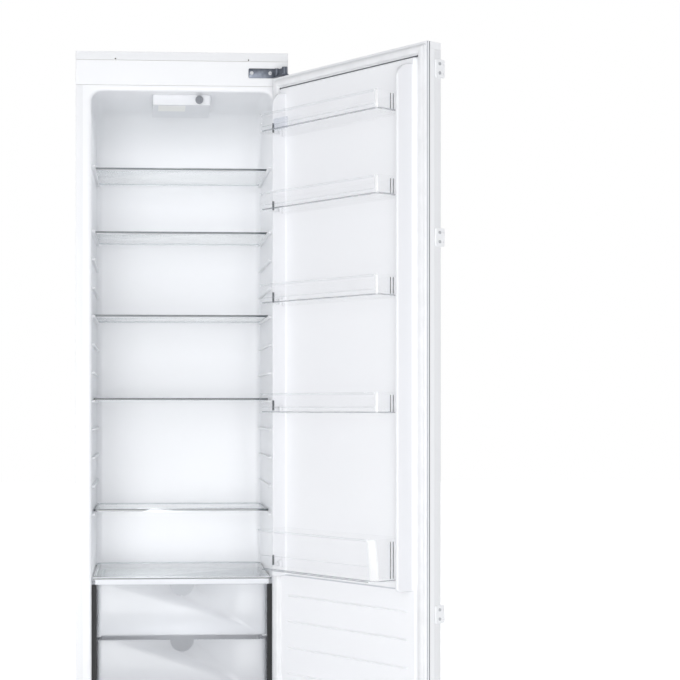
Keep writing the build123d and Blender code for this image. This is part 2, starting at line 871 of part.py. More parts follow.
# Side seals: a dark strip between each liner wall and the drawer fronts
with BuildPart() as crisper_side_seals:
    seal_front = front_y + drawer_front
    seal_foot = cavity_floor + mouth_corner
    add(block(level(seal_foot), drawer_half + seal_gap, cavity_half, seal_front,
              seal_front + seal_wall, trim_foot - rest_gap - seal_foot))
    add(mirror(crisper_side_seals.part, about=Plane.YZ, mode=Mode.PRIVATE))
export(crisper_side_seals.part, "crisper_side_seals")


def drawer(floor_z, height, back):
    """Open drawer with rounded corners, an inward rim and a finger notch in its front."""
    half = drawer_half
    front = front_y + drawer_front
    with BuildPart() as box:
        add(block(level(floor_z), -half, half, front, back, height, drawer_corner))
        add(block(level(floor_z + drawer_wall), drawer_wall - half, half - drawer_wall,
                  front + drawer_wall, back - drawer_wall, height,
                  drawer_corner - drawer_wall), mode=Mode.SUBTRACT)
        add(block(level(floor_z + height - drawer_rim_height), -half, half, front, back,
                  drawer_rim_height, drawer_corner))
        add(block(level(floor_z), drawer_wall + drawer_rim_width - half,
                  half - drawer_wall - drawer_rim_width,
                  front + drawer_wall + drawer_rim_width,
                  back - drawer_wall - drawer_rim_width, height + over),
            mode=Mode.SUBTRACT)
        add(block(level(floor_z), drawer_wall - half, half - drawer_wall, front + drawer_wall,
                  back - drawer_wall, drawer_wall, drawer_corner - drawer_wall))
        add(rod(facing(front + drawer_wall + drawer_rim_width + over), 0, floor_z + height,
                drawer_grip_radius, drawer_wall + drawer_rim_width + over + over),
            mode=Mode.SUBTRACT)
    return box.part


crisper_drawer_upper = drawer(upper_drawer_floor, upper_drawer_height,
                              cavity_back - drawer_rear_gap)
export(crisper_drawer_upper, "crisper_drawer_upper")
crisper_drawer_lower = drawer(lower_drawer_floor, lower_drawer_height,
                              step_front - drawer_rear_gap)
export(crisper_drawer_lower, "crisper_drawer_lower")

# Compressor: a domed shell on a foot plate, with its relay seat and pipe stubs
with BuildPart() as compressor:
    foot_z = base_wall + grommet_height
    shell_z = foot_z + foot_plate_wall
    shell_top = niche_height - compressor_head_gap
    compressor_height = shell_top - shell_z
    with BuildSketch(Plane(origin=(0, compressor_y, 0), x_dir=(1, 0, 0), z_dir=(0, -1, 0))):
        with BuildLine():
            Polyline(
                (0, shell_top),
                (0, shell_z),
                (compressor_radius, shell_z),
                (compressor_radius, shell_top - dome_rise),
            )
            ThreePointArc(
                (compressor_radius, shell_top - dome_rise),
                (
                    (compressor_radius + dome_flat_radius) / 2 + dome_rise / 4,
                    shell_top - dome_rise / 3,
                ),
                (dome_flat_radius, shell_top),
            )
            Line((dome_flat_radius, shell_top), (0, shell_top))
        make_face()
    revolve(axis=Axis((0, compressor_y, 0), (0, 0, 1)))
    add(rod(level(shell_z + compressor_height * weld_ring_share), 0, compressor_y,
            compressor_radius + weld_ring_width, weld_ring_height))
    foot_x = grommet_span_x / 2 + foot_plate_margin
    foot_y = grommet_span_y / 2 + foot_plate_margin
    add(block(level(foot_z), -foot_x, foot_x, compressor_y - foot_y, compressor_y + foot_y,
              foot_plate_wall, foot_plate_margin))
    relay_z = shell_z + compressor_height * relay_drop_share
    add(block(level(relay_z), 0, relay_seat, compressor_y - relay_width / 4,
              compressor_y + relay_width / 4, relay_height / 2))
    stub_length = stub_reach - compressor_radius / 2
    add(rod(Plane.YZ.offset(-stub_reach), compressor_y, suction_z, suction_radius + steel_wall,
            stub_length))
    add(rod(Plane.YZ.offset(-stub_reach), compressor_y, discharge_z,
            discharge_radius + steel_wall, stub_length))
export(compressor.part, "compressor")

with BuildPart() as compressor_grommets:
    with BuildSketch(level(base_wall)) as grommet_discs:
        with Locations((0, compressor_y)):
            with GridLocations(grommet_span_x, grommet_span_y, 2, 2):
                Circle(grommet_radius)
    extrude(grommet_discs.sketch, amount=grommet_height)
export(compressor_grommets.part, "compressor_grommets")

with BuildPart() as relay_box:
    add(block(level(relay_z - relay_height / 4), relay_seat, relay_seat + relay_depth,
              compressor_y - relay_width / 2, compressor_y + relay_width / 2, relay_height,
              control_wall))
export(relay_box.part, "relay_box")

with BuildPart() as refrigerant_pipes:
    for tube in (suction_pipe, discharge_pipe, drier_pipe, capillary_pipe):
        add(tube)
export(refrigerant_pipes.part, "refrigerant_pipes")

with BuildPart() as filter_drier:
    add(rod(level(drier_bottom), riser_x, coil_y, drier_radius, drier_length))
    fillet(filter_drier.edges().filter_by(GeomType.CIRCLE), drier_radius / 2)
export(filter_drier.part, "filter_drier")

# Condenser: a serpentine tube, upright wires and the clips that hold it off the rear wall
coil_points = [(-coil_half_width, coil_y, coil_tail_z)]
for run in range(coil_runs):
    start_x = -coil_half_width if run % 2 == 0 else coil_half_width
    run_z = coil_bottom + coil_pitch * run
    coil_points += [(start_x, coil_y, run_z), (-start_x, coil_y, run_z)]
coil_points[-1] = (riser_x, coil_y, coil_top)
coil_points.append((riser_x, coil_y, coil_tail_z))
with BuildPart() as condenser_coil:
    add(pipe(coil_points, coil_radius, coil_pitch * coil_bend_share))
export(condenser_coil.part, "condenser_coil")

wire_y = coil_y + coil_radius + wire_radius + wire_gap
with BuildPart() as condenser_wires:
    with BuildSketch(level(coil_bottom - wire_overhang)) as wire_discs:
        with Locations((0, wire_y)):
            with GridLocations(wire_pitch, wire_pitch, wire_count, 1):
                Circle(wire_radius)
    extrude(wire_discs.sketch, amount=coil_top - coil_bottom + wire_overhang + wire_overhang)
export(condenser_wires.part, "condenser_wires")

with BuildPart() as condenser_clips:
    for run in clip_runs:
        run_z = coil_bottom + coil_pitch * run
        for side in (-1, 1):
            centre = side * clip_x
            add(block(facing(coil_y + coil_radius + steel_wall), centre - clip_width / 2,
                      centre + clip_width / 2, run_z - clip_height / 2,
                      run_z + clip_height / 2,
                      coil_stand + coil_radius + coil_radius + steel_wall))
        add(rod(Plane.YZ.offset(-cab_half), coil_y, run_z, coil_radius + run_gap, cab_width),
            mode=Mode.SUBTRACT)
export(condenser_clips.part, "condenser_clips")

# Drain tube from the cavity floor, and the tray on the compressor
drain_length = step_top - liner_wall - drain_bottom
with BuildPart() as drain_tube:
    add(rod(level(drain_bottom), 0, drain_y, drain_radius, drain_length))
    add(rod(level(drain_bottom - over), 0, drain_y, drain_radius - drain_wall,
            drain_length + over + over), mode=Mode.SUBTRACT)
export(drain_tube.part, "drain_tube")

with BuildPart() as drip_tray:
    tray_front = compressor_y - tray_depth / 2
    tray_back = compressor_y + tray_depth / 2
    tray_half = tray_width / 2
    add(block(level(shell_top), -tray_half, tray_half, tray_front, tray_back, tray_height,
              board_gap))
    add(block(level(shell_top + tray_wall), tray_wall - tray_half, tray_half - tray_wall,
              tray_front + tray_wall, tray_back - tray_wall, tray_height,
              board_gap - tray_wall), mode=Mode.SUBTRACT)
export(drip_tray.part, "drip_tray")

# Gland for the cord, on the niche panel
with BuildPart() as cord_gland:
    add(block(facing(niche_front + gland_depth), -gland_x - gland_width / 2,
              gland_width / 2 - gland_x, niche_height / 2, niche_height / 2 + gland_height,
              gland_depth, control_wall))
    add(rod(facing(niche_front + gland_depth + over), -gland_x,
            niche_height / 2 + gland_height / 2, gland_bore, gland_depth + over - control_wall),
        mode=Mode.SUBTRACT)
export(cord_gland.part, "cord_gland")

# Places of the bracket screws and the rail holes on the door's free edge
edge_plane = Plane(
    origin=door_corner + along_door * door_width,
    x_dir=into_room,
    z_dir=along_door,
)
screw_places = []
rail_places = []
for bracket_z in bracket_levels:
    for side in (-1, 1):
        hole_z = bracket_z + side * bracket_hole_pitch / 2
        screw_places.append((bracket_start + bracket_screw_place, hole_z))
        rail_places.append((bracket_start + bracket_rail_place, hole_z))


def bracket_shafts(radius):
    """Shafts of the bracket screws, from the bracket's face into the door."""
    with BuildSketch(edge_plane.offset(bracket_wall)) as discs:
        with Locations(*screw_places):
            Circle(radius)
    return extrude(discs.sketch, amount=-screw_length, mode=Mode.PRIVATE)


# Door leaf: outer panel, side strips, caps, liner and the foam between them
leaf_low = door_bottom + cap_height
leaf_high = door_top - cap_height
strip_start = liner_fold + groove_gap
strip_end = strip_start + strip_width
with BuildPart() as door_outer_panel:
    add(block(door_face(-door_wall), 0, door_width, leaf_low, leaf_high, steel_wall))
    add(block(door_face(-door_wall), 0, steel_wall, leaf_low, leaf_high,
              door_wall - strip_end))
    add(block(door_face(-door_wall), door_width - steel_wall, door_width, leaf_low, leaf_high,
              door_wall - strip_end))
    add(bracket_shafts(screw_radius + run_gap), mode=Mode.SUBTRACT)
export(door_outer_panel.part, "door_outer_panel")

with BuildPart() as door_side_strips:
    add(block(door_face(-strip_end), 0, strip_wall, leaf_low, leaf_high, strip_width))
    add(block(door_face(-strip_end), door_width - strip_wall, door_width, leaf_low, leaf_high,
              strip_width))
export(door_side_strips.part, "door_side_strips")

with BuildPart() as door_top_cap:
    add(block(door_face(-door_wall), 0, door_width, leaf_high, door_top,
              door_wall - strip_start))
    add(block(door_face(-strip_start), liner_wall, door_width - liner_wall, leaf_high,
              door_top - liner_wall, strip_start - liner_wall))
    add(rod(door_level(leaf_high), pin_inset, pin_depth, bush_radius + run_gap, cap_height),
        mode=Mode.SUBTRACT)
export(door_top_cap.part, "door_top_cap")

with BuildPart() as door_bottom_cap:
    add(mirror(door_top_cap.part, about=level(door_middle), mode=Mode.PRIVATE))
export(door_bottom_cap.part, "door_bottom_cap")

relief_outside = door_relief(0, -liner_wall)
relief_inside = door_relief(liner_wall, -liner_wall)
dam_face = zone_side + dam_inner_run
with BuildPart() as door_liner:
    add(block(door_face(-liner_wall), 0, door_width, door_bottom, door_top, liner_wall))
    add(block(door_face(-liner_fold), 0, door_width, door_bottom, door_top,
              liner_fold - liner_wall))
    add(block(door_face(-liner_fold), liner_wall, door_width - liner_wall,
              door_bottom + liner_wall, door_top - liner_wall, liner_fold - liner_wall),
        mode=Mode.SUBTRACT)
    add(relief_outside)
    add(relief_inside, mode=Mode.SUBTRACT)
    for rib in range(rib_count):
        rib_z = high_zone_bottom - rib_first_drop - rib_pitch * rib
        add(block(door_face(low_zone), zone_side + rib_side,
                  door_width - zone_side - rib_side, rib_z - rib_width / 2,
                  rib_z + rib_width / 2, rib_rise))
    for floor_z in bin_floors + [rack_floor]:
        lug_low = floor_z + bin_wall
        for start, end in (
            (dam_face - liner_wall, dam_face + lug_reach),
            (door_width - dam_face - lug_reach, door_width - dam_face + liner_wall),
        ):
            add(block(door_face(lug_place), start, end, lug_low, lug_low + lug_height,
                      lug_width))
export(door_liner.part, "door_liner")

with BuildPart() as door_foam:
    add(block(door_face(steel_wall - door_wall), steel_wall, door_width - steel_wall, leaf_low,
              leaf_high, door_wall - strip_end - steel_wall))
    add(block(door_face(-strip_end), strip_wall, door_width - strip_wall, leaf_low, leaf_high,
              strip_end - liner_wall))
    add(relief_inside)
    add(bracket_shafts(screw_radius + run_gap), mode=Mode.SUBTRACT)
export(door_foam.part, "door_foam")

with BuildPart() as door_hinge_bushes:
    add(rod(door_level(leaf_high), pin_inset, pin_depth, bush_radius, cap_height))
    add(rod(door_level(door_top), pin_inset, pin_depth, bush_rim_radius, bush_rim))
    add(rod(door_level(leaf_high - over), pin_inset, pin_depth, pin_radius + run_gap,
            cap_height + bush_rim + over + over), mode=Mode.SUBTRACT)
    add(mirror(door_hinge_bushes.part, about=level(door_middle), mode=Mode.PRIVATE))
export(door_hinge_bushes.part, "door_hinge_bushes")

# Magnetic gasket: a base band, a bellows lip and the magnet bulb
gasket_rise = gasket_space - gasket_gap
with BuildPart() as door_gasket:
    gasket_right = door_width - gasket_far_side
    gasket_low = door_bottom + gasket_top
    gasket_high = door_top - gasket_top
    lip_inset = (gasket_width - gasket_lip_width) / 2
    bulb_inset = (gasket_width - gasket_bulb_width) / 2
    lip_rise = (gasket_rise - gasket_base) / 2
    for inset, start, rise in (
        (0, 0, gasket_base),
        (lip_inset, gasket_base, lip_rise),
        (bulb_inset, gasket_base + lip_rise, gasket_rise - gasket_base - lip_rise),
    ):
        add(block(door_face(start), gasket_side + inset, gasket_right - inset,
                  gasket_low + inset, gasket_high - inset, rise, mouth_flare - inset))
    for inset, start, rise in (
        (0, 0, gasket_base),
        (lip_inset, gasket_base, lip_rise),
        (bulb_inset, gasket_base + lip_rise, gasket_rise - gasket_base - lip_rise + over),
    ):
        hole = gasket_width - inset
        add(block(door_face(start), gasket_side + hole, gasket_right - hole,
                  gasket_low + hole, gasket_high - hole, rise), mode=Mode.SUBTRACT)
export(door_gasket.part, "door_gasket")

# Door bins: clear trays that hang on the liner's lugs
bin_left = dam_face + bin_side_gap
bin_right = door_width - bin_left
bin_back = high_zone + bin_side_gap


def tray_outline(plane, inset, front, corner):
    """Plan of a bin shrunk by inset, with its two front corners rounded."""
    return outline(
        plane,
        [
            (bin_left + inset, -(bin_back + inset), 0),
            (bin_left + inset, inset - front, corner - inset),
            (bin_right - inset, inset - front, corner - inset),
            (bin_right - inset, -(bin_back + inset), 0),
        ],
    )


def door_bin(floor_z, rim_z, front_low, front_high, corner, step_z):
    """Tray with a slanted front, an inward rim, a lower step and a notch over each lug."""
    rise = rim_z - floor_z

    def front_at(z):
        """Front depth at a height, along the slant."""
        return front_low + (front_high - front_low) * (z - floor_z) / rise

    def slanted(low, high, inset):
        """Loft of the plan between two heights."""
        faces = [
            tray_outline(door_level(z), inset, front_at(z), corner).face() for z in (low, high)
        ]
        return loft(faces, ruled=True, mode=Mode.PRIVATE)

    with BuildPart() as tray:
        add(slanted(floor_z, rim_z, 0))
        add(slanted(floor_z + bin_wall, step_z, bin_wall + rack_step_width),
            mode=Mode.SUBTRACT)
        add(slanted(step_z, rim_z - bin_rim_height, bin_wall), mode=Mode.SUBTRACT)
        add(slanted(rim_z - bin_rim_height, rim_z, bin_wall + bin_rim_width),
            mode=Mode.SUBTRACT)
        notch_low = lug_place - rest_gap
        notch_high = lug_place + lug_width + rest_gap
        notch_top = floor_z + bin_wall + lug_height + rest_gap
        for start, end in (
            (bin_left - bin_side_gap, bin_left + lug_reach + rest_gap),
            (bin_right - lug_reach - rest_gap, bin_right + bin_side_gap),
        ):
            add(block(door_level(floor_z), start, end, -notch_high, -notch_low,
                      notch_top - floor_z), mode=Mode.SUBTRACT)
    return tray.part


for number, (floor_z, rise) in enumerate(zip(bin_floors, bin_heights), start=1):
    door_tray = door_bin(floor_z, floor_z + rise, bin_front, bin_front, bin_corner,
                         floor_z + bin_wall + rack_step_width)
    export(door_tray, f"door_bin_{number}")
bottle_rack = door_bin(rack_floor, rack_floor + rack_height, rack_front_low, rack_front_high,
                       rack_corner, rack_floor + rack_step_height)
export(bottle_rack, "bottle_rack")

# Rail brackets on the free edge, with two screws each and two open holes for the rail
with BuildPart() as rail_brackets:
    for bracket_z in bracket_levels:
        add(block(edge_plane, bracket_start, bracket_start + bracket_width,
                  bracket_z - bracket_height / 2, bracket_z + bracket_height / 2, bracket_wall,
                  bracket_corner))
    with BuildSketch(edge_plane) as rail_holes:
        with Locations(*rail_places):
            Circle(bracket_hole_radius)
    extrude(rail_holes.sketch, amount=bracket_wall, mode=Mode.SUBTRACT)
    add(bracket_shafts(screw_radius + run_gap), mode=Mode.SUBTRACT)
export(rail_brackets.part, "rail_brackets")

with BuildPart() as bracket_screws:
    add(bracket_shafts(screw_radius))
    with BuildSketch(edge_plane.offset(bracket_wall)) as bracket_heads:
        with Locations(*screw_places):
            Circle(bracket_screw_head_radius)
    extrude(bracket_heads.sketch, amount=bracket_screw_head_height)
export(bracket_screws.part, "bracket_screws")
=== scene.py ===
"""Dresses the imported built-in refrigerator: its liners, clear bins, glass, seals, finishes and studio."""

import json
import logging
import math
from collections.abc import Sequence
from dataclasses import dataclass
from enum import Enum

import bmesh
import bpy
import numpy as np
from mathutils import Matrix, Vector


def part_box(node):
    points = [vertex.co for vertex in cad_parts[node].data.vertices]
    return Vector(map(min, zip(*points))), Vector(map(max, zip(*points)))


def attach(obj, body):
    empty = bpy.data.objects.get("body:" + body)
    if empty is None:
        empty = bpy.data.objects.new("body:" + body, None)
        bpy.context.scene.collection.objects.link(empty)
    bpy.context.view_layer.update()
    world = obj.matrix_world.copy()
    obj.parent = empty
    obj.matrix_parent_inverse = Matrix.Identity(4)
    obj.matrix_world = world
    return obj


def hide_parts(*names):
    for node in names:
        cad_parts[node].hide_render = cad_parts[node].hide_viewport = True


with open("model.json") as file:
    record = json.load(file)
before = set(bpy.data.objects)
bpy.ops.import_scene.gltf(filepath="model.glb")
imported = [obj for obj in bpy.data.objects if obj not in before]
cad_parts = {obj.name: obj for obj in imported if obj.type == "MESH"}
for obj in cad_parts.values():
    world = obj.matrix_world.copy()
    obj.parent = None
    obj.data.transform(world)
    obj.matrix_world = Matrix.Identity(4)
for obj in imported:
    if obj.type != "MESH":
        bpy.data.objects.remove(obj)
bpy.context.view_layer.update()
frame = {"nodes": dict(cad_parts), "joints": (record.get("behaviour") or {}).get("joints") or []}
LOG = logging.getLogger("refrigerator")
MM = 0.001
QUARTER = math.pi / 2
BINS = range(1, 5)
SHELVES = range(1, 6)
# One number, or one for each row of loops
Values = float | Sequence[float] | np.ndarray


def linear(code: str) -> tuple[float, float, float, float]:
    """Turns an sRGB hex colour into the linear values that shaders read.

    Args:
        code: Six hex digits.

    Returns:
        Linear red, green, blue and a full alpha.
    """
    parts = np.array([int(code[i:i + 2], 16) for i in (0, 2, 4)]) / 255
    low = parts / 12.92
    high = ((parts + 0.055) / 1.055) ** 2.4
    return (*np.where(parts <= 0.04045, low, high).tolist(), 1.0)


def add_node(tree: bpy.types.NodeTree, kind: str, inputs: dict | None = None,
             **settings: object) -> bpy.types.Node:
    """Adds a node, applies its settings, then fills its inputs with values or links.

    Args:
        tree: The node tree that takes the node.
        kind: Blender's type name of the node.
        inputs: A value or an output socket for each input's name or number.
        **settings: The node's own properties.

    Returns:
        The new node.
    """
    node = tree.nodes.new(kind)
    for key, value in settings.items():
        setattr(node, key, value)
    for key, value in (inputs or {}).items():
        if isinstance(value, bpy.types.NodeSocket):
            tree.links.new(value, node.inputs[key])
        else:
            node.inputs[key].default_value = value
    return node


@dataclass(frozen=True)
class Finish:
    """What a surface is made of; each kind adds what its process leaves on it."""

    name: str
    colour: str
    roughness: float

    def material(self) -> bpy.types.Material:
        """Makes the finish's material on its first use, and finds it again after that.

        Returns:
            The material.
        """
        found = bpy.data.materials.get(self.name)
        if found is not None:
            return found
        made = bpy.data.materials.new(self.name)
        made.use_nodes = True
        made.diffuse_color = linear(self.colour)
        shader = made.node_tree.nodes["Principled BSDF"]
        shader.inputs["Base Color"].default_value = linear(self.colour)
        shader.inputs["Roughness"].default_value = self.roughness
        self.dress(made.node_tree, shader)
        return made

    def dress(self, tree: bpy.types.NodeTree, shader: bpy.types.Node) -> None:
        """Adds the process's own marks; the plain finish has none."""

    def place(self, tree: bpy.types.NodeTree) -> bpy.types.NodeSocket:
        """Returns the piece's own coordinates, in metres."""
        return add_node(tree, "ShaderNodeTexCoord").outputs["Object"]

    def grain(self, tree: bpy.types.NodeTree, wave_mm: float, detail: float = 2.0) -> bpy.types.NodeSocket:
        """Returns a soft noise whose cells are wave_mm across."""
        settings = {"Vector": self.place(tree), "Scale": 1 / (wave_mm * MM), "Detail": detail}
        return add_node(tree, "ShaderNodeTexNoise", settings).outputs["Fac"]

    def relief(self, tree: bpy.types.NodeTree, shader: bpy.types.Node, height: bpy.types.NodeSocket,
               depth_mm: float, edge_mm: float = 0.0) -> None:
        """Gives the surface a relief, and softens its edges as the mould or the paint does.

        Args:
            tree: The material's nodes.
            shader: The shader that takes the normal.
            height: The pattern, 0 to 1.
            depth_mm: Depth of the pattern.
            edge_mm: Radius that the edges look rounded by; 0 leaves them.
        """
        inputs = {"Height": height, "Distance": depth_mm * MM, "Strength": 1.0}
        if edge_mm:
            bevel = add_node(tree, "ShaderNodeBevel", {"Radius": edge_mm * MM}, samples=4)
            inputs["Normal"] = bevel.outputs["Normal"]
        bump = add_node(tree, "ShaderNodeBump", inputs)
        tree.links.new(bump.outputs["Normal"], shader.inputs["Normal"])

    def tint(self, tree: bpy.types.NodeTree, shader: bpy.types.Node, other: str,
             pattern: bpy.types.NodeSocket) -> None:
        """Mixes the finish's colour with another one by a pattern.

        Args:
            tree: The material's nodes.
            shader: The shader that takes the colour.
            other: The sRGB hex colour where the pattern is 1.
            pattern: The pattern, 0 to 1.
        """
        mix = add_node(tree, "ShaderNodeMix", {0: pattern, 6: linear(self.colour), 7: linear(other)},
                       data_type="RGBA")
        tree.links.new(mix.outputs[2], shader.inputs["Base Color"])

    def vary_gloss(self, tree: bpy.types.NodeTree, shader: bpy.types.Node, wave_mm: float,
                   spread: float) -> None:
        """Lets the roughness wander.

        Args:
            tree: The material's nodes.
            shader: The shader that takes the roughness.
            wave_mm: Length that it wanders over.
            spread: How far it goes each way.
        """
        inputs = {"Value": self.grain(tree, wave_mm), "From Min": 0.0, "From Max": 1.0,
                  "To Min": self.roughness - spread, "To Max": self.roughness + spread}
        ramp = add_node(tree, "ShaderNodeMapRange", inputs)
        tree.links.new(ramp.outputs["Result"], shader.inputs["Roughness"])


@dataclass(frozen=True)
class CoilCoatedSteel(Finish):
    """Steel sheet painted before folding: satin, with a faint orange peel about 2 mm across."""

    drift: str = "e9eaec"

    def dress(self, tree: bpy.types.NodeTree, shader: bpy.types.Node) -> None:
        """Adds the peel, a slight drift of tone and the rounded folds.

        Args:
            tree: The material's nodes.
            shader: The shader that it dresses.
        """
        self.tint(tree, shader, self.drift, self.grain(tree, wave_mm=260))
        self.vary_gloss(tree, shader, wave_mm=45, spread=0.04)
        self.relief(tree, shader, self.grain(tree, wave_mm=2.0), depth_mm=0.012, edge_mm=0.8)
        shader.inputs["IOR"].default_value = 1.5


@dataclass(frozen=True)
class FormedPolystyrene(Finish):
    """Vacuum-formed high-impact polystyrene: glossy, with slow waves where the sheet stretched."""

    drift: str = "e7e9ee"

    def dress(self, tree: bpy.types.NodeTree, shader: bpy.types.Node) -> None:
        """Adds the stretch waves and the drift of tone that thin plastic has.

        Args:
            tree: The material's nodes.
            shader: The shader that it dresses.
        """
        self.tint(tree, shader, self.drift, self.grain(tree, wave_mm=400))
        self.relief(tree, shader, self.grain(tree, wave_mm=70, detail=1.0), depth_mm=0.02, edge_mm=0.8)
        shader.inputs["IOR"].default_value = 1.59
        shader.inputs["Specular IOR Level"].default_value = 0.35


@dataclass(frozen=True)
class MouldedPlastic(Finish):
    """Injection-moulded plastic with a fine spark-eroded texture, drawn 0.8 mm wide so that it shows."""

    drift: str = "dfe1e5"
    depth_mm: float = 0.03
    edge_mm: float = 0.8

    def dress(self, tree: bpy.types.NodeTree, shader: bpy.types.Node) -> None:
        """Adds the mould's grain, soft edges and uneven gloss.

        Args:
            tree: The material's nodes.
            shader: The shader that it dresses.
        """
        self.tint(tree, shader, self.drift, self.grain(tree, wave_mm=60))
        self.vary_gloss(tree, shader, wave_mm=12, spread=0.05)
        self.relief(tree, shader, self.grain(tree, wave_mm=0.8, detail=3.0), self.depth_mm, self.edge_mm)
        shader.inputs["IOR"].default_value = 1.5


@dataclass(frozen=True)
class PlatedSteel(Finish):
    """Rolled steel with bright zinc: a bluish tone, and fine lines drawn 0.5 mm wide so that they show."""

    drift: str = "8d97a3"
    spangle_mm: float = 9.0
    line_mm: float = 0.5
    draw_share: float = 0.04

    def dress(self, tree: bpy.types.NodeTree, shader: bpy.types.Node) -> None:
        """Adds the crystals to the tone and the rolling lines, a noise drawn out along X, to the relief.

        Args:
            tree: The material's nodes.
            shader: The shader that it dresses.
        """
        shader.inputs["Metallic"].default_value = 1.0
        cells = add_node(tree, "ShaderNodeTexVoronoi",
                         {"Vector": self.place(tree), "Scale": 1 / (self.spangle_mm * MM)})
        self.tint(tree, shader, self.drift, cells.outputs["Distance"])
        drawn = add_node(tree, "ShaderNodeMapping",
                         {"Vector": self.place(tree), "Scale": (self.draw_share, 1.0, 1.0)})
        lines = add_node(tree, "ShaderNodeTexNoise",
                         {"Vector": drawn.outputs["Vector"], "Scale": 1 / (self.line_mm * MM), "Detail": 2.0})
        self.vary_gloss(tree, shader, wave_mm=20, spread=0.08)
        self.relief(tree, shader, lines.outputs["Fac"], depth_mm=0.01, edge_mm=0.5)


@dataclass(frozen=True)
class DrawnCopper(Finish):
    """Drawn copper tube: bright where it was handled, browned by the air elsewhere."""

    drift: str = "6f3c26"

    def dress(self, tree: bpy.types.NodeTree, shader: bpy.types.Node) -> None:
        """Adds the brown film in patches and an uneven gloss over it.

        Args:
            tree: The material's nodes.
            shader: The shader that it dresses.
        """
        shader.inputs["Metallic"].default_value = 1.0
        self.tint(tree, shader, self.drift, self.grain(tree, wave_mm=30))
        self.vary_gloss(tree, shader, wave_mm=14, spread=0.1)


@dataclass(frozen=True)
class Enamel(Finish):
    """Black stoving enamel on steel: deep gloss with slight sags and dust."""

    drift: str = "2a2b2d"

    def dress(self, tree: bpy.types.NodeTree, shader: bpy.types.Node) -> None:
        """Adds the sags to the relief and dust to the tone.

        Args:
            tree: The material's nodes.
            shader: The shader that it dresses.
        """
        self.tint(tree, shader, self.drift, self.grain(tree, wave_mm=35))
        self.vary_gloss(tree, shader, wave_mm=25, spread=0.06)
        self.relief(tree, shader, self.grain(tree, wave_mm=6.0), depth_mm=0.05)


@dataclass(frozen=True)
class SoftVinyl(Finish):
    """Extruded vinyl or rubber: a faint dusty bloom, and the die's grain drawn 0.9 mm wide to show."""

    drift: str = "e3e4e6"
    sheen: float = 0.15

    def dress(self, tree: bpy.types.NodeTree, shader: bpy.types.Node) -> None:
        """Adds the bloom, the drift of tone and the die's fine grain.

        Args:
            tree: The material's nodes.
            shader: The shader that it dresses.
        """
        self.tint(tree, shader, self.drift, self.grain(tree, wave_mm=40))
        self.relief(tree, shader, self.grain(tree, wave_mm=0.9), depth_mm=0.015)
        shader.inputs["Sheen Weight"].default_value = self.sheen
        shader.inputs["IOR"].default_value = 1.52


@dataclass(frozen=True)
class RigidFoam(Finish):
    """Blown polyurethane: a matt cream skin over open cells 1 to 2 mm across."""

    drift: str = "c6bfa9"
    cell_mm: float = 1.6

    def dress(self, tree: bpy.types.NodeTree, shader: bpy.types.Node) -> None:
        """Adds the cells as pits and a browner tone in patches.

        Args:
            tree: The material's nodes.
            shader: The shader that it dresses.
        """
        cells = add_node(tree, "ShaderNodeTexVoronoi",
                         {"Vector": self.place(tree), "Scale": 1 / (self.cell_mm * MM)})
        self.tint(tree, shader, self.drift, self.grain(tree, wave_mm=3))
        self.relief(tree, shader, cells.outputs["Distance"], depth_mm=0.3)


@dataclass(frozen=True)
class ClearSheet(Finish):
    """Clear polystyrene or glass: nearly unseen face on, grey where the eye looks along a wall or a fold."""

    face_alpha: float = 0.1
    edge_alpha: float = 0.85
    edge_colour: str = "8e969e"
    curve: float = 0.35
    power: float = 3.0

    def dress(self, tree: bpy.types.NodeTree, shader: bpy.types.Node) -> None:
        """Lets the facing angle, raised to a power, set how much shows and in what tone.

        Args:
            tree: The material's nodes.
            shader: The shader that it dresses.
        """
        facing = add_node(tree, "ShaderNodeLayerWeight", {"Blend": self.curve}).outputs["Facing"]
        steep = add_node(tree, "ShaderNodeMath", {0: facing, 1: self.power}, operation="POWER").outputs[0]
        alpha = add_node(tree, "ShaderNodeMapRange",
                         {"Value": steep, "To Min": self.face_alpha, "To Max": self.edge_alpha})
        tree.links.new(alpha.outputs["Result"], shader.inputs["Alpha"])
        self.tint(tree, shader, self.edge_colour, steep)
        self.relief(tree, shader, self.grain(tree, wave_mm=40, detail=1.0), depth_mm=0.08)
        shader.inputs["IOR"].default_value = 1.59
        shader.inputs["Coat Weight"].default_value = 0.4


@dataclass(frozen=True)
class OpalCover(Finish):
    """Opal plastic over small lamps that aren't lit: milky, with a fine mould grain."""

    def dress(self, tree: bpy.types.NodeTree, shader: bpy.types.Node) -> None:
        """Lets a little light go on under the surface, and adds the grain.

        Args:
            tree: The material's nodes.
            shader: The shader that it dresses.
        """
        shader.inputs["Subsurface Weight"].default_value = 0.3
        shader.inputs["Subsurface Scale"].default_value = 2 * MM
        self.relief(tree, shader, self.grain(tree, wave_mm=1.2), depth_mm=0.02, edge_mm=0.5)


@dataclass(frozen=True)
class BackdropPaper(Finish):
    """Matt studio paper, which the eye and the gloss see as white away from the object's shadow."""

    glow: float = 0.8

    def dress(self, tree: bpy.types.NodeTree, shader: bpy.types.Node) -> None:
        """Lifts the paper for camera and glossy rays alone, so that it lights nothing.

        Args:
            tree: The material's nodes.
            shader: The shader that it dresses.
        """
        shader.inputs["Specular IOR Level"].default_value = 0.0
        path = add_node(tree, "ShaderNodeLightPath")
        seen = add_node(tree, "ShaderNodeMath",
                        {0: path.outputs["Is Camera Ray"], 1: path.outputs["Is Glossy Ray"]},
                        operation="MAXIMUM")
        lift = add_node(tree, "ShaderNodeMath", {0: seen.outputs[0], 1: self.glow}, operation="MULTIPLY")
        shader.inputs["Emission Color"].default_value = (1, 1, 1, 1)
        tree.links.new(lift.outputs[0], shader.inputs["Emission Strength"])


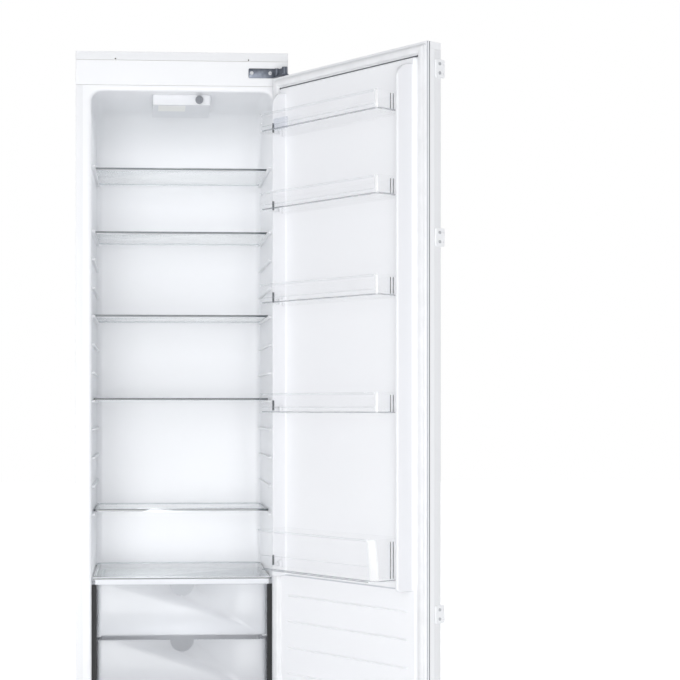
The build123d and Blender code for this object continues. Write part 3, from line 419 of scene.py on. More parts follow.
class Stuff(Enum):
    """Every finish on the refrigerator, and the studio's paper."""

    # Each gives a name, a colour and a roughness, then what its kind adds, in the order of its fields
    PAINT = CoilCoatedSteel("coil_coated_steel_white", "edeef0", 0.34)
    LINER = FormedPolystyrene("vacuum_formed_polystyrene", "f3f4f6", 0.3, "f1f2f5")
    MOULDED = MouldedPlastic("moulded_abs_white", "eaebee", 0.42)
    # Painted light: the moulded white drawn lighter on the fascia, side strips, top cap and rail brackets
    MOULDED_PAINTED_LIGHTER = MouldedPlastic("moulded_abs_gloss_white_painted_lighter", "f5f6f8", 0.34, "f3f4f6")
    GREY = MouldedPlastic("moulded_abs_grey", "8d9096", 0.45, "7f8288")
    DARK = MouldedPlastic("moulded_nylon_black", "1b1c1e", 0.5, "232427")
    GREY_ZINC = PlatedSteel("grey_passivated_zinc", "7b8089", 0.42, "5f646e")
    ZINC = PlatedSteel("zinc_plated_steel", "a9b0b9", 0.3)
    GALVANISED = PlatedSteel("galvanised_sheet", "b4b8bb", 0.42, "9a9fa4", 14.0)
    COPPER = DrawnCopper("drawn_copper", "b8714a", 0.3)
    ENAMEL = Enamel("black_stoved_enamel", "17181a", 0.22)
    RUBBER = SoftVinyl("moulded_rubber_black", "161617", 0.7, "1f2022", 0.1)
    VINYL = SoftVinyl("extruded_vinyl_white", "f3f4f6", 0.45)
    FOAM = RigidFoam("polyurethane_foam", "d8d3c2", 0.9)
    CLEAR = ClearSheet("clear_polystyrene", "f8f9fb", 0.08, 0.014, 0.4, "a0a6af", 0.3)
    CLEAR_FLOOR = ClearSheet("clear_polystyrene_floor", "fafbfc", 0.08, 0.02, 0.1, "f0f2f5", 0.3)
    # Painted shade: a dark grey clear for the lines along the bins' inner folds and the rack's outer foot
    CLEAR_FOLD_SHADE = ClearSheet("clear_polystyrene_painted_fold_shade", "858a91", 0.12, 0.65, 0.9, "6a6f76")
    # Painted shade: a greyer clear along the front rim and the step line, where the plastic turns
    CLEAR_RIM_SHADE = ClearSheet("clear_polystyrene_painted_rim_shade", "c3c7cd", 0.12, 0.2, 0.6, "aeb3ba")
    # Painted highlight: a whiter, more opaque clear on the bins' right front corners
    CLEAR_CORNER_HIGHLIGHT = ClearSheet("clear_polystyrene_painted_corner_highlight", "ffffff", 0.1, 0.25, 0.5, "eceef2")
    # Painted shade: a bluish clear for the sheet inside bin 1's left end
    CLEAR_SHADE_SHEET = ClearSheet("clear_polystyrene_painted_blue_shade", "c9d1e2", 0.15, 0.2, 0.4, "b4bccb")
    # Painted shade: a near-black clear that draws the ribs inside the bins' ends as dark lines
    CLEAR_RIB_SHADE = ClearSheet("clear_polystyrene_rib_painted_dark", "4c5056", 0.2, 0.85, 1.0, "3b3e43")
    DRAWER = ClearSheet("frosted_polystyrene", "eceef2", 0.25, 0.42, 0.72, "dfe2e8", 0.3)
    GLASS = ClearSheet("toughened_glass", "e9f1ef", 0.03, 0.1, 0.5, "dfe7e8", 0.3)
    # Painted shade: a dark glass edge, standing for the dark look that reflection inside the glass gives
    GLASS_EDGE_SHADE = ClearSheet("glass_edge_painted_dark", "50585d", 0.12, 0.92, 1.0, "363d41")
    # Painted light: the same glass edge drawn paler at the rear
    GLASS_REAR_LIGHT = ClearSheet("glass_rear_edge_painted_paler", "b9c2ca", 0.12, 0.5, 0.7, "9aa5ae")
    TRIM = MouldedPlastic("clear_trim_over_white", "e9ebef", 0.45, "e1e4e9", 0.01)
    # Painted shadow: a grey band on the door liner just under the step at the shelf line
    FOLD_SHADOW = FormedPolystyrene("vacuum_formed_polystyrene_painted_fold_shadow", "c9cbd1", 0.4, "c5c7cd")
    # Painted shade: the same liner drawn a little darker on the dams
    DAM_SHADE = FormedPolystyrene("polystyrene_dam_painted_shade", "ebecef", 0.34, "e9eaed")
    # Painted shade: a grey line along the liner's fold at the leaf's long sides
    CREASE = SoftVinyl("painted_shade_on_a_shallow_fold", "b4b7bd", 0.7, "abaeb4", 0.0)
    # Painted shade: near-black for the strip under the seal's top run, its corner blocks and the dark joint
    # down the leaf's sides
    SEAM = SoftVinyl("painted_shade_in_gaps", "55585e", 0.8, "4a4d53", 0.0)
    OPAL = OpalCover("opal_diffuser", "f3f3ef", 0.35)
    BOARD = MouldedPlastic("white_solder_mask", "e7e9e6", 0.4, "d5d8d3", 0.01, 0.2)
    PAPER = BackdropPaper("studio_paper", "f6f6f6", 0.9)


NODES_OF: dict[Stuff, tuple[str, ...]] = {
    Stuff.PAINT: ("side_panel_left", "side_panel_right", "top_panel", "door_outer_panel"),
    Stuff.GALVANISED: ("back_panel", "base_plate", "niche_panel", "evaporator"),
    Stuff.FOAM: ("cabinet_foam", "door_foam"),
    # These parts get the lighter copy of the moulded white: painted light
    Stuff.MOULDED_PAINTED_LIGHTER: ("top_fascia", "door_side_strips", "door_top_cap", "rail_brackets"),
    Stuff.MOULDED: ("control_box", "drain_tube", "door_bottom_cap"),
    Stuff.GREY: ("drip_tray", "thermostat_knob"),
    Stuff.DARK: ("door_sensor", "relay_box", "condenser_clips", "cord_gland", "door_hinge_bushes"),
    Stuff.OPAL: ("lamp_cover",),
    Stuff.BOARD: ("led_board",),
    Stuff.ZINC: ("upper_hinge", "lower_hinge", "hinge_screws", "bracket_screws"),
    Stuff.COPPER: ("refrigerant_pipes", "filter_drier"),
    Stuff.ENAMEL: ("compressor", "condenser_coil", "condenser_wires"),
    # The crisper side seals are black strips in the gaps beside the drawers: painted shade
    Stuff.RUBBER: ("compressor_grommets", "crisper_side_seals"),
    Stuff.VINYL: ("door_gasket",),
    Stuff.LINER: ("inner_liner", "door_liner"),
    Stuff.GLASS: ("crisper_cover", *(f"shelf_{number}_glass" for number in SHELVES)),
    Stuff.TRIM: ("crisper_cover_trim", *(f"shelf_{number}_trim" for number in SHELVES)),
    Stuff.DRAWER: ("crisper_drawer_upper", "crisper_drawer_lower"),
    Stuff.CLEAR: ("bottle_rack", *(f"door_bin_{number}" for number in BINS)),
}
NODE_STUFF = {node: stuff for stuff, nodes in NODES_OF.items() for node in nodes}


@dataclass(frozen=True)
class Axes:
    """A right-handed set of axes that a surface is worked out in: across, up and out."""

    origin: tuple[float, float, float]
    across: tuple[float, float, float]
    up: tuple[float, float, float]
    out: tuple[float, float, float]

    def world(self, points: np.ndarray) -> np.ndarray:
        """Adds across, up and out, each times its local value, to the origin."""
        return np.array(self.origin) + points @ np.array([self.across, self.up, self.out])


PLAN = Axes((0, 0, 0), (1, 0, 0), (0, 1, 0), (0, 0, 1))
FRONT = Axes((0, 0, 0), (1, 0, 0), (0, 0, 1), (0, -1, 0))
SIDE = Axes((0, 0, 0), (0, 1, 0), (0, 0, 1), (1, 0, 0))


def door_axes(pin_inset: float = 12 * MM, pin_depth: float = 29 * MM) -> tuple[Axes, Axes]:
    """Works out the open leaf's own axes from its hinge.

    Args:
        pin_inset: From the leaf's hinged edge to the pin.
        pin_depth: From the leaf's inner face to the pin.

    Returns:
        The face's axes (along the leaf, up, out of the inner face) and the plan's (along, into the leaf, up).
    """
    hinge = next(joint for joint in frame["joints"] if joint["name"] == "door_hinge")
    turn = math.radians(180 - hinge["range_deg"][0])
    along = np.array([math.cos(turn), math.sin(turn), 0])
    inward = np.array([math.sin(turn), -math.cos(turn), 0])
    pin = np.array([*hinge["pos_m"][:2], 0])
    corner = tuple(pin - along * pin_inset + inward * pin_depth)
    face = Axes(corner, tuple(along), (0, 0, 1), tuple(inward))
    return face, Axes(corner, tuple(along), tuple(-inward), (0, 0, 1))


DOOR_FACE, DOOR_PLAN = door_axes()


def rounded_loops(left: Values, right: Values, low: Values, high: Values, radius: Values,
                  steps: int = 6) -> np.ndarray:
    """Rounded rectangles, one a row: a corner is its centre plus its radius times cosine and sine.

    Args:
        left: Left side; each side is one value, or one a row.
        right: Right side.
        low: Lower side.
        high: Upper side.
        radius: One value, one a row, or four a row from the lower right corner anticlockwise.
        steps: Spans on each quarter turn.

    Returns:
        Points as rows by 4 x (steps + 1) by 2.
    """
    sides = [np.atleast_1d(np.asarray(value, float)) for value in (left, right, low, high)]
    radii = np.asarray(radius, float)
    radii = radii if radii.ndim == 2 else radii.reshape(-1, 1)
    rows = max(len(value) for value in (*sides, radii))
    left, right, low, high = (np.broadcast_to(value, rows) for value in sides)
    radii = np.broadcast_to(radii, (rows, 4))
    quarter = np.linspace(0, QUARTER, steps + 1)
    angles = np.concatenate([quarter + QUARTER * turn for turn in (-1, 0, 1, 2)])
    corner = np.repeat(np.arange(4), steps + 1)
    sides_x = np.stack([right - radii[:, 0], right - radii[:, 1], left + radii[:, 2], left + radii[:, 3]], 1)
    sides_y = np.stack([low + radii[:, 0], high - radii[:, 1], high - radii[:, 2], low + radii[:, 3]], 1)
    return np.stack([sides_x[:, corner] + radii[:, corner] * np.cos(angles),
                     sides_y[:, corner] + radii[:, corner] * np.sin(angles)], axis=-1)


def raised(loops: np.ndarray, heights: Values) -> np.ndarray:
    """Gives each row of flat loops its height."""
    tall = np.broadcast_to(np.asarray(heights, float).reshape(-1, 1, 1), (*loops.shape[:2], 1))
    return np.concatenate([loops, tall], axis=2)


def filleted(corners: list[tuple[float, float, float]], steps: int = 4) -> np.ndarray:
    """Rounds a closed outline: each corner's arc is the turn of its start vector into its end vector.

    Args:
        corners: Place and radius of each corner, anticlockwise.
        steps: Spans on each arc.

    Returns:
        The outline's points.
    """
    places = np.array([corner[:2] for corner in corners])
    share = np.linspace(0, 1, steps + 1)[:, None]
    rows = []
    for index, (_, _, radius) in enumerate(corners):
        here = places[index]
        last, following = places[index - 1] - here, places[(index + 1) % len(corners)] - here
        last, following = last / np.linalg.norm(last), following / np.linalg.norm(following)
        half = math.acos(np.clip(last @ following, -1, 1)) / 2
        if not radius:
            rows.append(here[None])
            continue
        reach = radius / math.tan(half)
        inward = (last + following) / np.linalg.norm(last + following)
        centre = here + inward * radius / math.sin(half)
        start, end = here + last * reach - centre, here + following * reach - centre
        turn = math.pi - 2 * half
        arc = (np.sin((1 - share) * turn) * start + np.sin(share * turn) * end) / math.sin(turn)
        rows.append(centre + arc)
    return np.concatenate(rows)


def circle(x: float, y: float, radius: float, spans: int = 32) -> np.ndarray:
    """A circle, anticlockwise: its centre plus its radius times the cosine and the sine of a full turn.

    Args:
        x: Place of the centre across.
        y: Place of the centre up.
        radius: Its radius.
        spans: Number of points.

    Returns:
        The points, one a row.
    """
    turn = np.linspace(0, 4 * QUARTER, spans + 1)[:-1]
    return np.stack([x + radius * np.cos(turn), y + radius * np.sin(turn)], 1)


class Shell:
    """Collects surfaces into one mesh, each a grid of points with its own finish."""

    def __init__(self) -> None:
        """Starts empty."""
        self.points: list[np.ndarray] = []
        self.faces: list[list[int]] = []
        self.marks: list[int] = []
        self.size = 0

    def take(self, points: np.ndarray, faces: list[list[int]], marks: list[int]) -> None:
        """Adds a surface.

        Args:
            points: Its points, one a row.
            faces: Its faces, which number all points so far and its own.
            marks: The number of each face's finish.
        """
        self.points.append(points)
        self.faces += faces
        self.marks += marks
        self.size += len(points)

    def rings(self, axes: Axes, loops: np.ndarray, mark: int = 0, closed: bool = False,
              caps: tuple[bool, bool] = (True, True), stripes: np.ndarray | None = None,
              cap_mark: int | None = None, inner_share: float = 0.0) -> None:
        """Joins closed loops, row by row, into a tube.

        Args:
            axes: Axes that the loops are in.
            loops: Points as rows by points by 3, anticlockwise as seen from the out side, rows going out.
            mark: Number of the finish.
            closed: True where the last loop joins the first.
            caps: Whether the first and the last loop are filled.
            stripes: The finish of each span round the loop, of each row, or of both, where they differ.
            cap_mark: The finish of the filled ends, where it differs.
            inner_share: Size of one more loop inside each filled end, which keeps that end flat; 0 adds none.
        """
        if inner_share:
            first, last = (end.mean(axis=1, keepdims=True) * (1 - inner_share) + end * inner_share
                           for end in (loops[:1], loops[-1:]))
            loops = np.concatenate([first] * caps[0] + [loops] + [last] * caps[1])
        rows, count = loops.shape[:2]
        row = np.arange(rows if closed else rows - 1)[:, None]
        column = np.arange(count)[None, :]
        next_row = (row + 1) % rows
        next_column = (column + 1) % count
        quads = np.stack([row * count + column, row * count + next_column,
                          next_row * count + next_column, next_row * count + column], axis=-1)
        faces = (quads.reshape(-1, 4) + self.size).tolist()
        marks = np.broadcast_to(mark if stripes is None else stripes, (len(row), count)).ravel().tolist()
        if not closed and caps[0]:
            faces.append((np.arange(count)[::-1] + self.size).tolist())
        if not closed and caps[1]:
            faces.append((np.arange(count) + (rows - 1) * count + self.size).tolist())
        marks += [mark if cap_mark is None else cap_mark] * (len(faces) - len(marks))
        self.take(axes.world(loops.reshape(-1, 3)), faces, marks)

    def block(self, axes: Axes, sides: tuple[float, float, float, float], heights: Values, radius: float,
              mark: int = 0) -> None:
        """Stands a small block with rounded edges up between two heights.

        Args:
            axes: Axes that the block is in.
            sides: Its left, right, lower and upper side.
            heights: Its two heights.
            radius: Radius of its upright edges.
            mark: Number of the finish.
        """
        loops = np.repeat(rounded_loops(*sides, radius, steps=3), 2, axis=0)
        self.rings(axes, raised(loops, heights), mark)

    def grid(self, axes: Axes, points: np.ndarray, marks: np.ndarray | int = 0) -> None:
        """Joins an open grid of points.

        Args:
            axes: Axes that the points are in.
            points: Rows by columns by 3; rows go up and columns across.
            marks: The number of the finish, one for all faces or one a face.
        """
        rows, columns = points.shape[:2]
        row = np.arange(rows - 1)[:, None]
        column = np.arange(columns - 1)[None, :]
        quads = np.stack([row * columns + column, row * columns + column + 1,
                          (row + 1) * columns + column + 1, (row + 1) * columns + column], axis=-1)
        faces = (quads.reshape(-1, 4) + self.size).tolist()
        marks = np.broadcast_to(marks, (rows - 1, columns - 1)).ravel().tolist()
        self.take(axes.world(points.reshape(-1, 3)), faces, marks)

    def make(self, name: str, finishes: Sequence[Stuff], sharp_deg: float = 40) -> bpy.types.Object:
        """Puts everything into one smooth-shaded object.

        Args:
            name: The piece's name.
            finishes: The finish of each mark.
            sharp_deg: Edges that fold by more than this stay crisp.

        Returns:
            The piece, at the origin.
        """
        mesh = bpy.data.meshes.new(name)
        mesh.from_pydata(np.concatenate(self.points).tolist(), [], self.faces)
        mesh.polygons.foreach_set("material_index", self.marks)
        for stuff in finishes:
            mesh.materials.append(stuff.value.material())
        mesh.shade_smooth()
        mesh.set_sharp_from_angle(angle=math.radians(sharp_deg))
        mesh.update()
        piece = bpy.data.objects.new(name, mesh)
        bpy.context.scene.collection.objects.link(piece)
        return piece


def settle(piece: bpy.types.Object, body: str, slot: str, *nodes: str) -> None:
    """Lets a piece ride on its body and stands it in for CAD nodes.

    Args:
        piece: The piece.
        body: Name of its body.
        slot: Name of its material slot; not used.
        *nodes: The CAD nodes that it replaces.
    """
    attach(piece, body)
    if nodes:
        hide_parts(*nodes)
    LOG.info("%s: %d faces on %s", piece.name, len(piece.data.polygons), body)


def carve(piece: bpy.types.Object, shell: Shell) -> None:
    """Cuts a shell's closed surfaces out of a piece.

    Args:
        piece: The piece that is cut.
        shell: The surfaces that mark what goes.
    """
    cutter = shell.make(f"{piece.name}_cutter", [])
    cut = piece.modifiers.new("cut", "BOOLEAN")
    cut.operation = "DIFFERENCE"
    cut.object = cutter
    cut.solver = "EXACT"
    bpy.context.view_layer.update()
    evaluated = piece.evaluated_get(bpy.context.evaluated_depsgraph_get())
    mesh = bpy.data.meshes.new_from_object(evaluated)
    piece.modifiers.clear()
    piece.data = mesh
    bpy.data.objects.remove(cutter)


# Spans of skin's section: the outer foot, the turned rim, the step line and the fold at the inner floor
OUTER_FOOT, RIM, STEP, INNER_FOLD = slice(0, 4), slice(5, 12), slice(13, 15), slice(-4, None)


def skin(floor: float, rim_top: float, wall: float, rim: float, rim_height: float,
         step_share: float = 0.0) -> tuple[np.ndarray, np.ndarray]:
    """Section of an open box as one skin: up the outside, over the rim and down the inside to the floor.

    Args:
        floor: Height of the underside.
        rim_top: Height of the rim's top.
        wall: Thickness of walls and floor.
        rim: How far the rim stands in from the wall.
        rim_height: How far the rim reaches down.
        step_share: Where the inside steps in, as a share of the height; 0 leaves it out.

    Returns:
        The inset from the outside and the height of each point.
    """
    foot, slope, ledge = 3 * MM, 1.2 * MM, 0.0
    soft = np.array([0.0, 0.2, 0.7]) * MM
    arc = np.linspace(0, QUARTER, 5)
    lip = wall + rim
    inset = [foot * (1 - np.sin(arc)), soft, lip - soft[::-1], [lip, wall]]
    height = [floor + foot * (1 - np.cos(arc)), rim_top - soft[::-1], rim_top - soft,
              [rim_top - rim_height, rim_top - rim_height - slope]]
    if step_share:
        ledge = 1.2 * MM
        step = floor + (rim_top - floor) * step_share
        inset.append([wall, wall + ledge, wall + ledge])
        height.append([step + 0.5 * MM, step, step - 2 * MM])
    inset.append(wall + ledge + foot * (1 - np.cos(arc)))
    height.append(floor + wall + foot * (1 - np.sin(arc)))
    return np.concatenate(inset), np.concatenate(height)


@dataclass(frozen=True)
class CavityLiner:
    """The formed liner of the cavity: flange, flared mouth, swept ceiling, machine step and shelf ledges."""

    front: float = -245 * MM
    back: float = 175 * MM
    half: float = 230 * MM
    floor: float = 120 * MM
    top: float = 1670 * MM
    corner: float = 25 * MM
    rear_corner: float = 18 * MM
    sweep: float = 135 * MM
    step_front: float = 10 * MM
    step_top: float = 270 * MM
    step_corner: float = 20 * MM
    flare: float = 8 * MM
    wall: float = 2 * MM
    spans: int = 8
    ledge_front: float = -212 * MM
    ledge_length: float = 370 * MM
    ledge_height: float = 6 * MM
    ledge_round: float = 2.2 * MM
    ledge_reach: float = 8 * MM
    ledge_pitch: float = 72.6 * MM
    ledge_count: int = 11
    runner_reach: float = 24 * MM
    shelf_rest: float = 4.3 * MM
    play: float = 0.3 * MM

    def build(self) -> None:
        """Builds the liner as loops that go in from the mouth, then its ledges."""
        shell = Shell()
        low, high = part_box("inner_liner")
        depth, bottom, ceiling = self.side_profile()
        # The rear corners are quarter circles: past is how far a row lies behind their centre
        past = np.clip(depth - self.back + self.rear_corner, 0, None)
        half = self.half - self.rear_corner + np.sqrt(np.clip(self.rear_corner ** 2 - past ** 2, 0, None))
        inner = raised(rounded_loops(-half, half, bottom, ceiling, self.corner, self.spans), -depth)
        turn = np.linspace(0, QUARTER, 6)
        spread = self.flare * (1 - np.sin(turn))
        mouth = raised(rounded_loops(-self.half - spread, self.half + spread, self.floor - spread,
                                     self.top + spread, self.corner + spread, self.spans),
                       -(self.front + self.flare * (1 - np.cos(turn))))
        flange = raised(rounded_loops(low.x, high.x, low.z, high.z, np.full(2, 0.2 * MM), self.spans),
                        -np.array([self.front + self.wall, self.front]))
        # Rows go out towards the front, so the order runs from the rear wall to the flange's edge
        inside = np.concatenate([inner[::-1], mouth[::-1], flange[::-1]])
        shell.rings(FRONT, inside[:, ::-1], caps=(True, False), inner_share=0.9)
        for side in (-1, 1):
            for top, reach, end in self.ledge_rows():
                self.ledge(shell, side, top, reach, end)
        piece = shell.make("cavity_liner", [Stuff.LINER], sharp_deg=50)
        settle(piece, "cabinet", "white_liner_plastic", "inner_liner")

    def side_profile(self) -> tuple[np.ndarray, np.ndarray, np.ndarray]:
        """Works out the floor and the ceiling along the depth.

        The step's corners are quarter circles; the ceiling is flat, then a quarter circle of radius sweep.

        Returns:
            Depths from the mouth to the rear, with the floor's and the ceiling's height at each.
        """
        arc = np.linspace(0, QUARTER, 7)
        corner = self.step_corner
        flat = np.linspace(self.step_front + corner + 10 * MM, self.back - corner, 14)
        depth = np.concatenate([
            [self.front + self.flare], self.step_front - corner + corner * np.sin(arc),
            self.step_front + corner - corner * np.cos(arc), flat,
            self.back - corner + corner * np.sin(arc[1:])])
        bottom = np.concatenate([
            [self.floor], self.floor + corner - corner * np.cos(arc),
            self.step_top - corner + corner * np.sin(arc), np.full(len(flat), self.step_top),
            self.step_top + corner - corner * np.cos(arc[1:])])
        swept = np.clip(depth - (self.back - self.sweep), 0, self.sweep)
        return depth, bottom, self.top - self.sweep + np.sqrt(self.sweep ** 2 - swept ** 2)

    def ledge_rows(self) -> list[tuple[float, float, float]]:
        """Works the ledges out from the pieces that rest on them.

        Returns:
            Top, reach and rear end of each ledge.
        """
        rear = self.ledge_front + self.ledge_length
        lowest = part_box("shelf_5_glass")[1].z
        tops = [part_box("shelf_1_glass")[1].z]
        tops += [lowest + self.ledge_pitch * step for step in range(self.ledge_count)]
        tops.append(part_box("crisper_cover")[1].z + self.play)
        rows = [(top - self.shelf_rest, self.ledge_reach, rear) for top in tops]
        for level, end in (("upper", rear), ("lower", self.step_front - self.step_corner)):
            rows.append((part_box(f"crisper_drawer_{level}")[0].z - self.play, self.runner_reach, end))
        return rows

    def ledge(self, shell: Shell, side: int, top: float, reach: float, end: float) -> None:
        """Adds one ledge: rounded loops that shrink by a quarter circle as they leave the wall.

        Args:
            shell: Takes the ledge.
            side: -1 for the left wall, 1 for the right one.
            top: Height of its top.
            reach: How far it stands out of the wall.
            end: Depth of its rear end.
        """
        arc = np.linspace(0, QUARTER, 5)
        out = np.concatenate([[-1 * MM, 0.0], reach - self.ledge_round + self.ledge_round * np.sin(arc)])
        inset = np.concatenate([[0, 0], self.ledge_round * (1 - np.cos(arc))])
        axes = Axes((side * self.half, 0, 0), (0, -side, 0), (0, 0, 1), (-side, 0, 0))
        ends = np.sort(np.array([-side * self.ledge_front, -side * end]))
        radius = np.clip(self.ledge_height / 2 - inset, 0.3 * MM, None)
        loops = rounded_loops(ends[0] + inset, ends[1] - inset, top - self.ledge_height + inset * 0.9,
                              top - inset * 0.6, radius, steps=4)
        shell.rings(axes, raised(loops, out))


@dataclass(frozen=True)
class DoorLiner:
    """The door's formed liner: two raised zones, a dam down each side and pressed ribs at the foot."""

    width: float = 540 * MM
    side: float = 36 * MM
    end: float = 32 * MM
    low_zone: float = 2.5 * MM
    high_zone: float = 6.5 * MM
    shelf_line: float = 450 * MM
    dam_height: float = 46 * MM
    dam_top: float = 1649 * MM
    dam_corner: float = 34 * MM
    dam_foot: float = 10 * MM
    fold: float = 6.5 * MM
    edge: float = 2 * MM
    rib_count: int = 5
    rib_rise: float = 3 * MM
    rib_bell: float = 1.9 * MM
    rib_pitch: float = 64.5 * MM
    rib_drop: float = 51.5 * MM
    rib_side: float = 26 * MM
    soft: float = 5 * MM
    rim_lines_mm: tuple[float, ...] = (0, 0.15, 0.6, 1.2, 2, 6, 14, 22)

    def build(self) -> None:
        """Builds the liner as a height over its flat back, rounds its edge off and folds its rim."""
        low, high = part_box("door_liner")
        bottom, top = low.z, high.z
        along, up = self.lines_across(), self.lines_up(bottom, top)
        proud = self.relief(along[None, :], up[:, None], bottom, top)
        border = np.minimum(np.minimum(along, self.width - along)[None, :],
                            np.minimum(up - bottom, top - up)[:, None])
        short = 1 - np.clip(border / self.edge, 0, 1)
        proud = proud - self.edge * (1 - np.sqrt(np.clip(1 - short ** 2, 0, 1)))
        grid = np.stack(np.broadcast_arrays(along[None, :], up[:, None], proud), axis=-1)
        grid = np.concatenate([grid[:1], grid, grid[-1:]], axis=0)
        grid = np.concatenate([grid[:, :1], grid, grid[:, -1:]], axis=1)
        for rim in (grid[0], grid[-1], grid[:, 0], grid[:, -1]):
            rim[:, 2] = -self.fold
        shell = Shell()
        shell.grid(DOOR_FACE, grid, self.finish_marks(grid))
        piece = shell.make("door_liner_shell", [Stuff.LINER, Stuff.FOLD_SHADOW, Stuff.DAM_SHADE], sharp_deg=50)
        settle(piece, "door", "white_liner_plastic", "door_liner")

    def finish_marks(self, grid: np.ndarray) -> np.ndarray:
        """Marks the painted shadow just under the step between the two zones with 1 and the dams' painted
        shade with 2.

        Args:
            grid: The liner's points, rows by columns by 3.

        Returns:
            The number of each face's finish.
        """
        middle = (grid[1:, 1:] + grid[:-1, :-1]) / 2
        within = np.minimum(middle[..., 0], self.width - middle[..., 0]) - self.side
        # A band about 4 mm high just under the step: painted shadow
        fold = (np.abs(middle[..., 1] - self.shelf_line + 1 * MM) < 2 * MM) & (within > self.soft)
        # Faces high on the dams take the darker dam finish: painted shade
        return np.where(middle[..., 2] > self.dam_height / 4, 2, fold.astype(int))

    def lines_across(self) -> np.ndarray:
        """Places the grid's lines across the leaf, closer on the dams, the zones' edges and the ribs' ends.

        Returns:
            Distances from the leaf's hinged edge.
        """
        rim = np.array(self.rim_lines_mm) * MM
        dam = self.side + np.concatenate([np.linspace(-6, 30, 37), [self.rib_side / MM + 8]]) * MM
        middle = np.linspace(self.side + self.rib_side + 14 * MM, self.width / 2, 14)
        half = np.unique(np.concatenate([rim, dam, middle]))
        return np.concatenate([half, self.width - half[::-1][1:]])

    def lines_up(self, bottom: float, top: float) -> np.ndarray:
        """Places the grid's lines up the leaf, closer at the zones' edges, the ribs and the dams' ends.

        Args:
            bottom: Height of the liner's lower edge.
            top: Height of its upper edge.

        Returns:
            The heights, in order.
        """
        rim = np.array(self.rim_lines_mm) * MM
        zone = np.linspace(-6, 8, 15) * MM
        head = np.linspace(-36, 4, 41) * MM
        foot = np.linspace(-6, 34, 41) * MM
        ribs = [line + np.linspace(-5, 5, 11) * MM for line in self.rib_lines()]
        rest = np.linspace(self.shelf_line + 40 * MM, self.dam_top - 40 * MM, 30)
        every = [bottom + rim, top - rim, bottom + self.end + zone, top - self.end - zone,
                 self.dam_top + head, self.shelf_line + foot, rest, *ribs]
        lines = np.unique(np.round(np.concatenate(every), 6))
        return lines[np.concatenate([[True], np.diff(lines) > 0.1 * MM])]

    def rib_lines(self) -> list[float]:
        """Returns the height of each pressed rib's middle."""
        return [self.shelf_line - self.rib_drop - self.rib_pitch * row for row in range(self.rib_count)]

    def step(self, distance: np.ndarray, soft: float) -> np.ndarray:
        """Smooth step from 0 to 1 over a soft width: 3 t squared minus 2 t cubed."""
        share = np.clip(distance / soft, 0, 1)
        return share * share * (3 - 2 * share)

    def relief(self, along: np.ndarray, up: np.ndarray, bottom: float, top: float) -> np.ndarray:
        """Adds the zones' smooth steps and the ribs' bells up, and lets the dams stand over them.

        A bell is e to the power of minus the squared distance from the rib's line.

        Args:
            along: Distances from the leaf's hinged edge.
            up: Heights.
            bottom: Height of the liner's lower edge.
            top: Height of its upper edge.

        Returns:
            How far each point stands out of the flat back.
        """
        within = np.minimum(along - self.side, self.width - self.side - along)
        from_end = np.minimum(up - bottom, top - up) - self.end
        field = self.step(within + self.soft / 2, self.soft) * self.step(from_end + self.soft / 2, self.soft)
        rise = self.low_zone * field
        upper = self.step(up - self.shelf_line + 2 * MM, 4 * MM)
        rise = rise + (self.high_zone - self.low_zone) * field * upper
        for line in self.rib_lines():
            bell = np.exp(-((up - line) / self.rib_bell) ** 2)
            rise = rise + self.rib_rise * bell * self.step(within - self.rib_side + 3 * MM, 6 * MM)
        return np.maximum(rise, self.dam(within, up))

    def dam(self, within: np.ndarray, up: np.ndarray) -> np.ndarray:
        """The dam: a soft foot, a slope, a rounded crest and a steep inner face, cut round at its two ends.

        Args:
            within: Distances from the raised zone's edge, inwards.
            up: Heights.

        Returns:
            The dam's height over the flat back at each point.
        """
        run = np.array([-3, 0, 1.5, 3, 4.5, 7.5, 10.5, 12.5,
                        14.5, 18.6, 20.2, 21.2, 21.5, 21.7, 23, 26]) * MM
        share = np.array([0, 0.03, 0.06, 0.12, 0.25, 0.55, 0.85, 0.96,
                          0.99, 1, 0.98, 0.83, 0.41, 0.22, 0.16, 0])
        section = np.interp(within, run, self.dam_height * share, left=0, right=0)
        head = self.rounding(self.dam_top - up, self.dam_corner)
        foot = self.rounding(up - self.shelf_line + 3 * MM, self.dam_foot)
        return np.minimum(section, np.minimum(head, foot))

    def rounding(self, distance: np.ndarray, radius: float) -> np.ndarray:
        """Rounds an end of the dam off by a quarter circle.

        Args:
            distance: Distances from the dam's end.
            radius: The circle's radius.

        Returns:
            The greatest height at each distance.
        """
        short = np.clip(radius - distance, 0, radius)
        limit = self.dam_height + 0.2 * MM - radius + np.sqrt(np.clip(radius ** 2 - short ** 2, 0, None))
        return np.where(distance <= 0, -1.0, limit)


